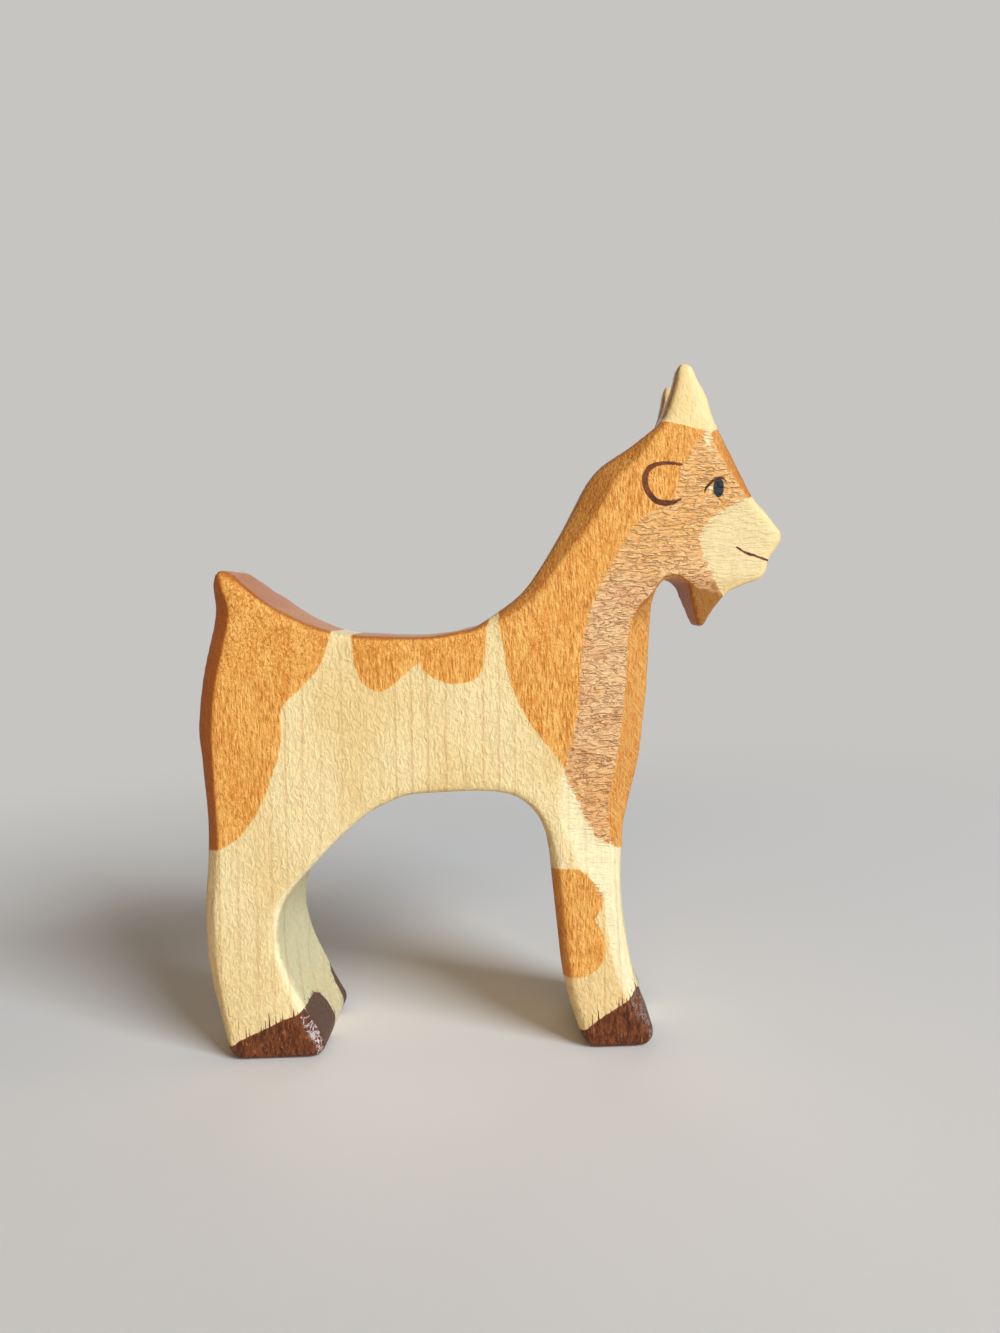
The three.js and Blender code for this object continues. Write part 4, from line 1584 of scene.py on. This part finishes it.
@dataclass(frozen=True)
class Camera:
    """The phone's camera, held square over the figure's side and a little turned.

    Attributes:
        stand: Where it stands, in millimetres.
        yaw, pitch, roll: How it is turned, in degrees.
        lens: Focal length on a frame as wide as sensor.
        clip: Nearest distance that it sees, in metres.
    """

    stand: Triple = (6.59, -196.5, 84.0)
    yaw: float = -1.42
    pitch: float = -3.52
    roll: float = -2.58
    lens: float = 27.0
    sensor: float = 36.0
    clip: float = 0.01

    def place(self) -> None:
        """Set up the camera."""
        data = bpy.data.cameras.new("photo_camera")
        data.lens = self.lens
        data.sensor_width = self.sensor
        data.sensor_fit = "AUTO"
        data.clip_start = self.clip
        camera = bpy.data.objects.new("photo_camera", data)
        bpy.context.collection.objects.link(camera)
        yaw, pitch = math.radians(self.yaw), math.radians(self.pitch)
        forward = Vector((math.sin(yaw) * math.cos(pitch), math.cos(yaw) * math.cos(pitch), math.sin(pitch)))
        turn = forward.to_track_quat("-Z", "Y").to_matrix().to_4x4()
        roll = Matrix.Rotation(math.radians(self.roll), 4, "Z")
        camera.matrix_world = Matrix.Translation(Vector(self.stand) * MM) @ turn @ roll
        bpy.context.scene.camera = camera


@dataclass(frozen=True)
class Lamp:
    """One soft square lamp that faces the figure.

    Attributes:
        name: Name of the lamp.
        place: Where it hangs, in metres.
        size: Side of its square, in metres.
        watts: Power.
        tint: Colour of its light.
    """

    name: str
    place: Triple
    size: float
    watts: float
    tint: Triple

    def hang(self, aim: Triple) -> None:
        """Hang the lamp and turn it to a place.

        Args:
            aim: Place that it lights, in metres.
        """
        data = bpy.data.lights.new(self.name, "AREA")
        data.shape = "SQUARE"
        data.size = self.size
        data.energy = self.watts
        data.color = self.tint
        lamp = bpy.data.objects.new(self.name, data)
        bpy.context.collection.objects.link(lamp)
        lamp.location = self.place
        lamp.rotation_euler = (Vector(aim) - Vector(self.place)).to_track_quat("-Z", "Y").to_euler()


@dataclass(frozen=True)
class Studio:
    """Pale floor, pale surroundings, a window on the right, a warm room lamp and a weak fill behind.

    Attributes:
        backdrop: Colour of the surroundings where they are seen.
        floor: Colour of the floor by the figure.
        floor_radius: Radius of the floor, in metres.
        fade: How far from the middle the floor starts to fade into the backdrop and is done, in metres.
        ambient: Strength of the surroundings' light.
        window, room, fill: The lamps.
        aim: Place that they light, in metres.
    """

    backdrop: Colour = srgb(198, 197, 194)
    floor: Colour = (0.88, 0.83, 0.77, 1.0)
    floor_radius: float = 2.5
    fade: Point = (0.12, 0.42)
    ambient: float = 0.07
    window: Lamp = Lamp("window_light", (1.6, -1.6, 1.37), 1.2, 77.0, (0.78, 0.88, 1.0))
    room: Lamp = Lamp("room_light", (0.08, -1.45, 0.45), 0.9, 5.7, (1.0, 0.66, 0.3))
    fill: Lamp = Lamp("fill_light", (0.1, 1.6, 0.75), 1.3, 5.5, (1.0, 0.96, 0.9))
    aim: Triple = (0.0, 0.0, 0.06)

    def build(self) -> None:
        """Put up the floor, the surroundings and the lamps."""
        self._floor()
        self._surroundings()
        for lamp in (self.window, self.room, self.fill):
            lamp.hang(self.aim)

    def _floor(self) -> None:
        """Lay a round floor whose far part fades into the surroundings."""
        bpy.ops.object.select_all(action="DESELECT")
        bpy.ops.mesh.primitive_circle_add(vertices=96, radius=self.floor_radius, fill_type="NGON")
        floor = bpy.context.active_object
        floor.name = "floor"
        material = bpy.data.materials.new("pale_floor")
        material.use_nodes = True
        nodes = material.node_tree.nodes
        bench = ShaderBench(material.node_tree)
        matt = nodes["Principled BSDF"]
        bench.fill(matt, Base_Color=self.floor, Roughness=0.9, Specular_IOR_Level=0.1)
        from_middle = bench.add("ShaderNodeVectorMath", operation="LENGTH")
        bench.plug(from_middle.inputs[0], bench.add("ShaderNodeTexCoord").outputs["Object"])
        glow = bench.add("ShaderNodeEmission")
        bench.fill(glow, Color=self.backdrop)
        far = bench.ramp(from_middle.outputs["Value"], *self.fade)
        seen = bench.show_backdrop(matt.outputs[0], glow.outputs[0], far)
        bench.fill(nodes["Material Output"], Surface=seen)
        floor.data.materials.append(material)

    def _surroundings(self) -> None:
        """Give the world the backdrop's colour where it is seen and a weak white one for the light."""
        world = bpy.data.worlds.new("studio")
        world.use_nodes = True
        bpy.context.scene.world = world
        bench = ShaderBench(world.node_tree)
        light = world.node_tree.nodes["Background"]
        bench.fill(light, Color=(1.0, 1.0, 1.0, 1.0), Strength=self.ambient)
        shown = bench.add("ShaderNodeBackground")
        bench.fill(shown, Color=self.backdrop)
        seen = bench.show_backdrop(light.outputs[0], shown.outputs[0])
        bench.fill(world.node_tree.nodes["World Output"], Surface=seen)


def main() -> None:
    """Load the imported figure, dress it, light it and note its size."""
    logging.basicConfig(level=logging.INFO, format="%(name)s: %(message)s")
    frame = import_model()
    bpy.context.scene.view_settings.view_transform = "Standard"
    Camera().place()
    goat = CarvedGoat()
    piece = goat.build(frame["nodes"][goat.node])
    LOG.info("%s: %d vertices, %d faces", piece.name, len(piece.data.vertices), len(piece.data.polygons))
    Studio().build()
    LOG.info("studio: floor, surroundings and three lamps")


if __name__ == "__main__":
    main()
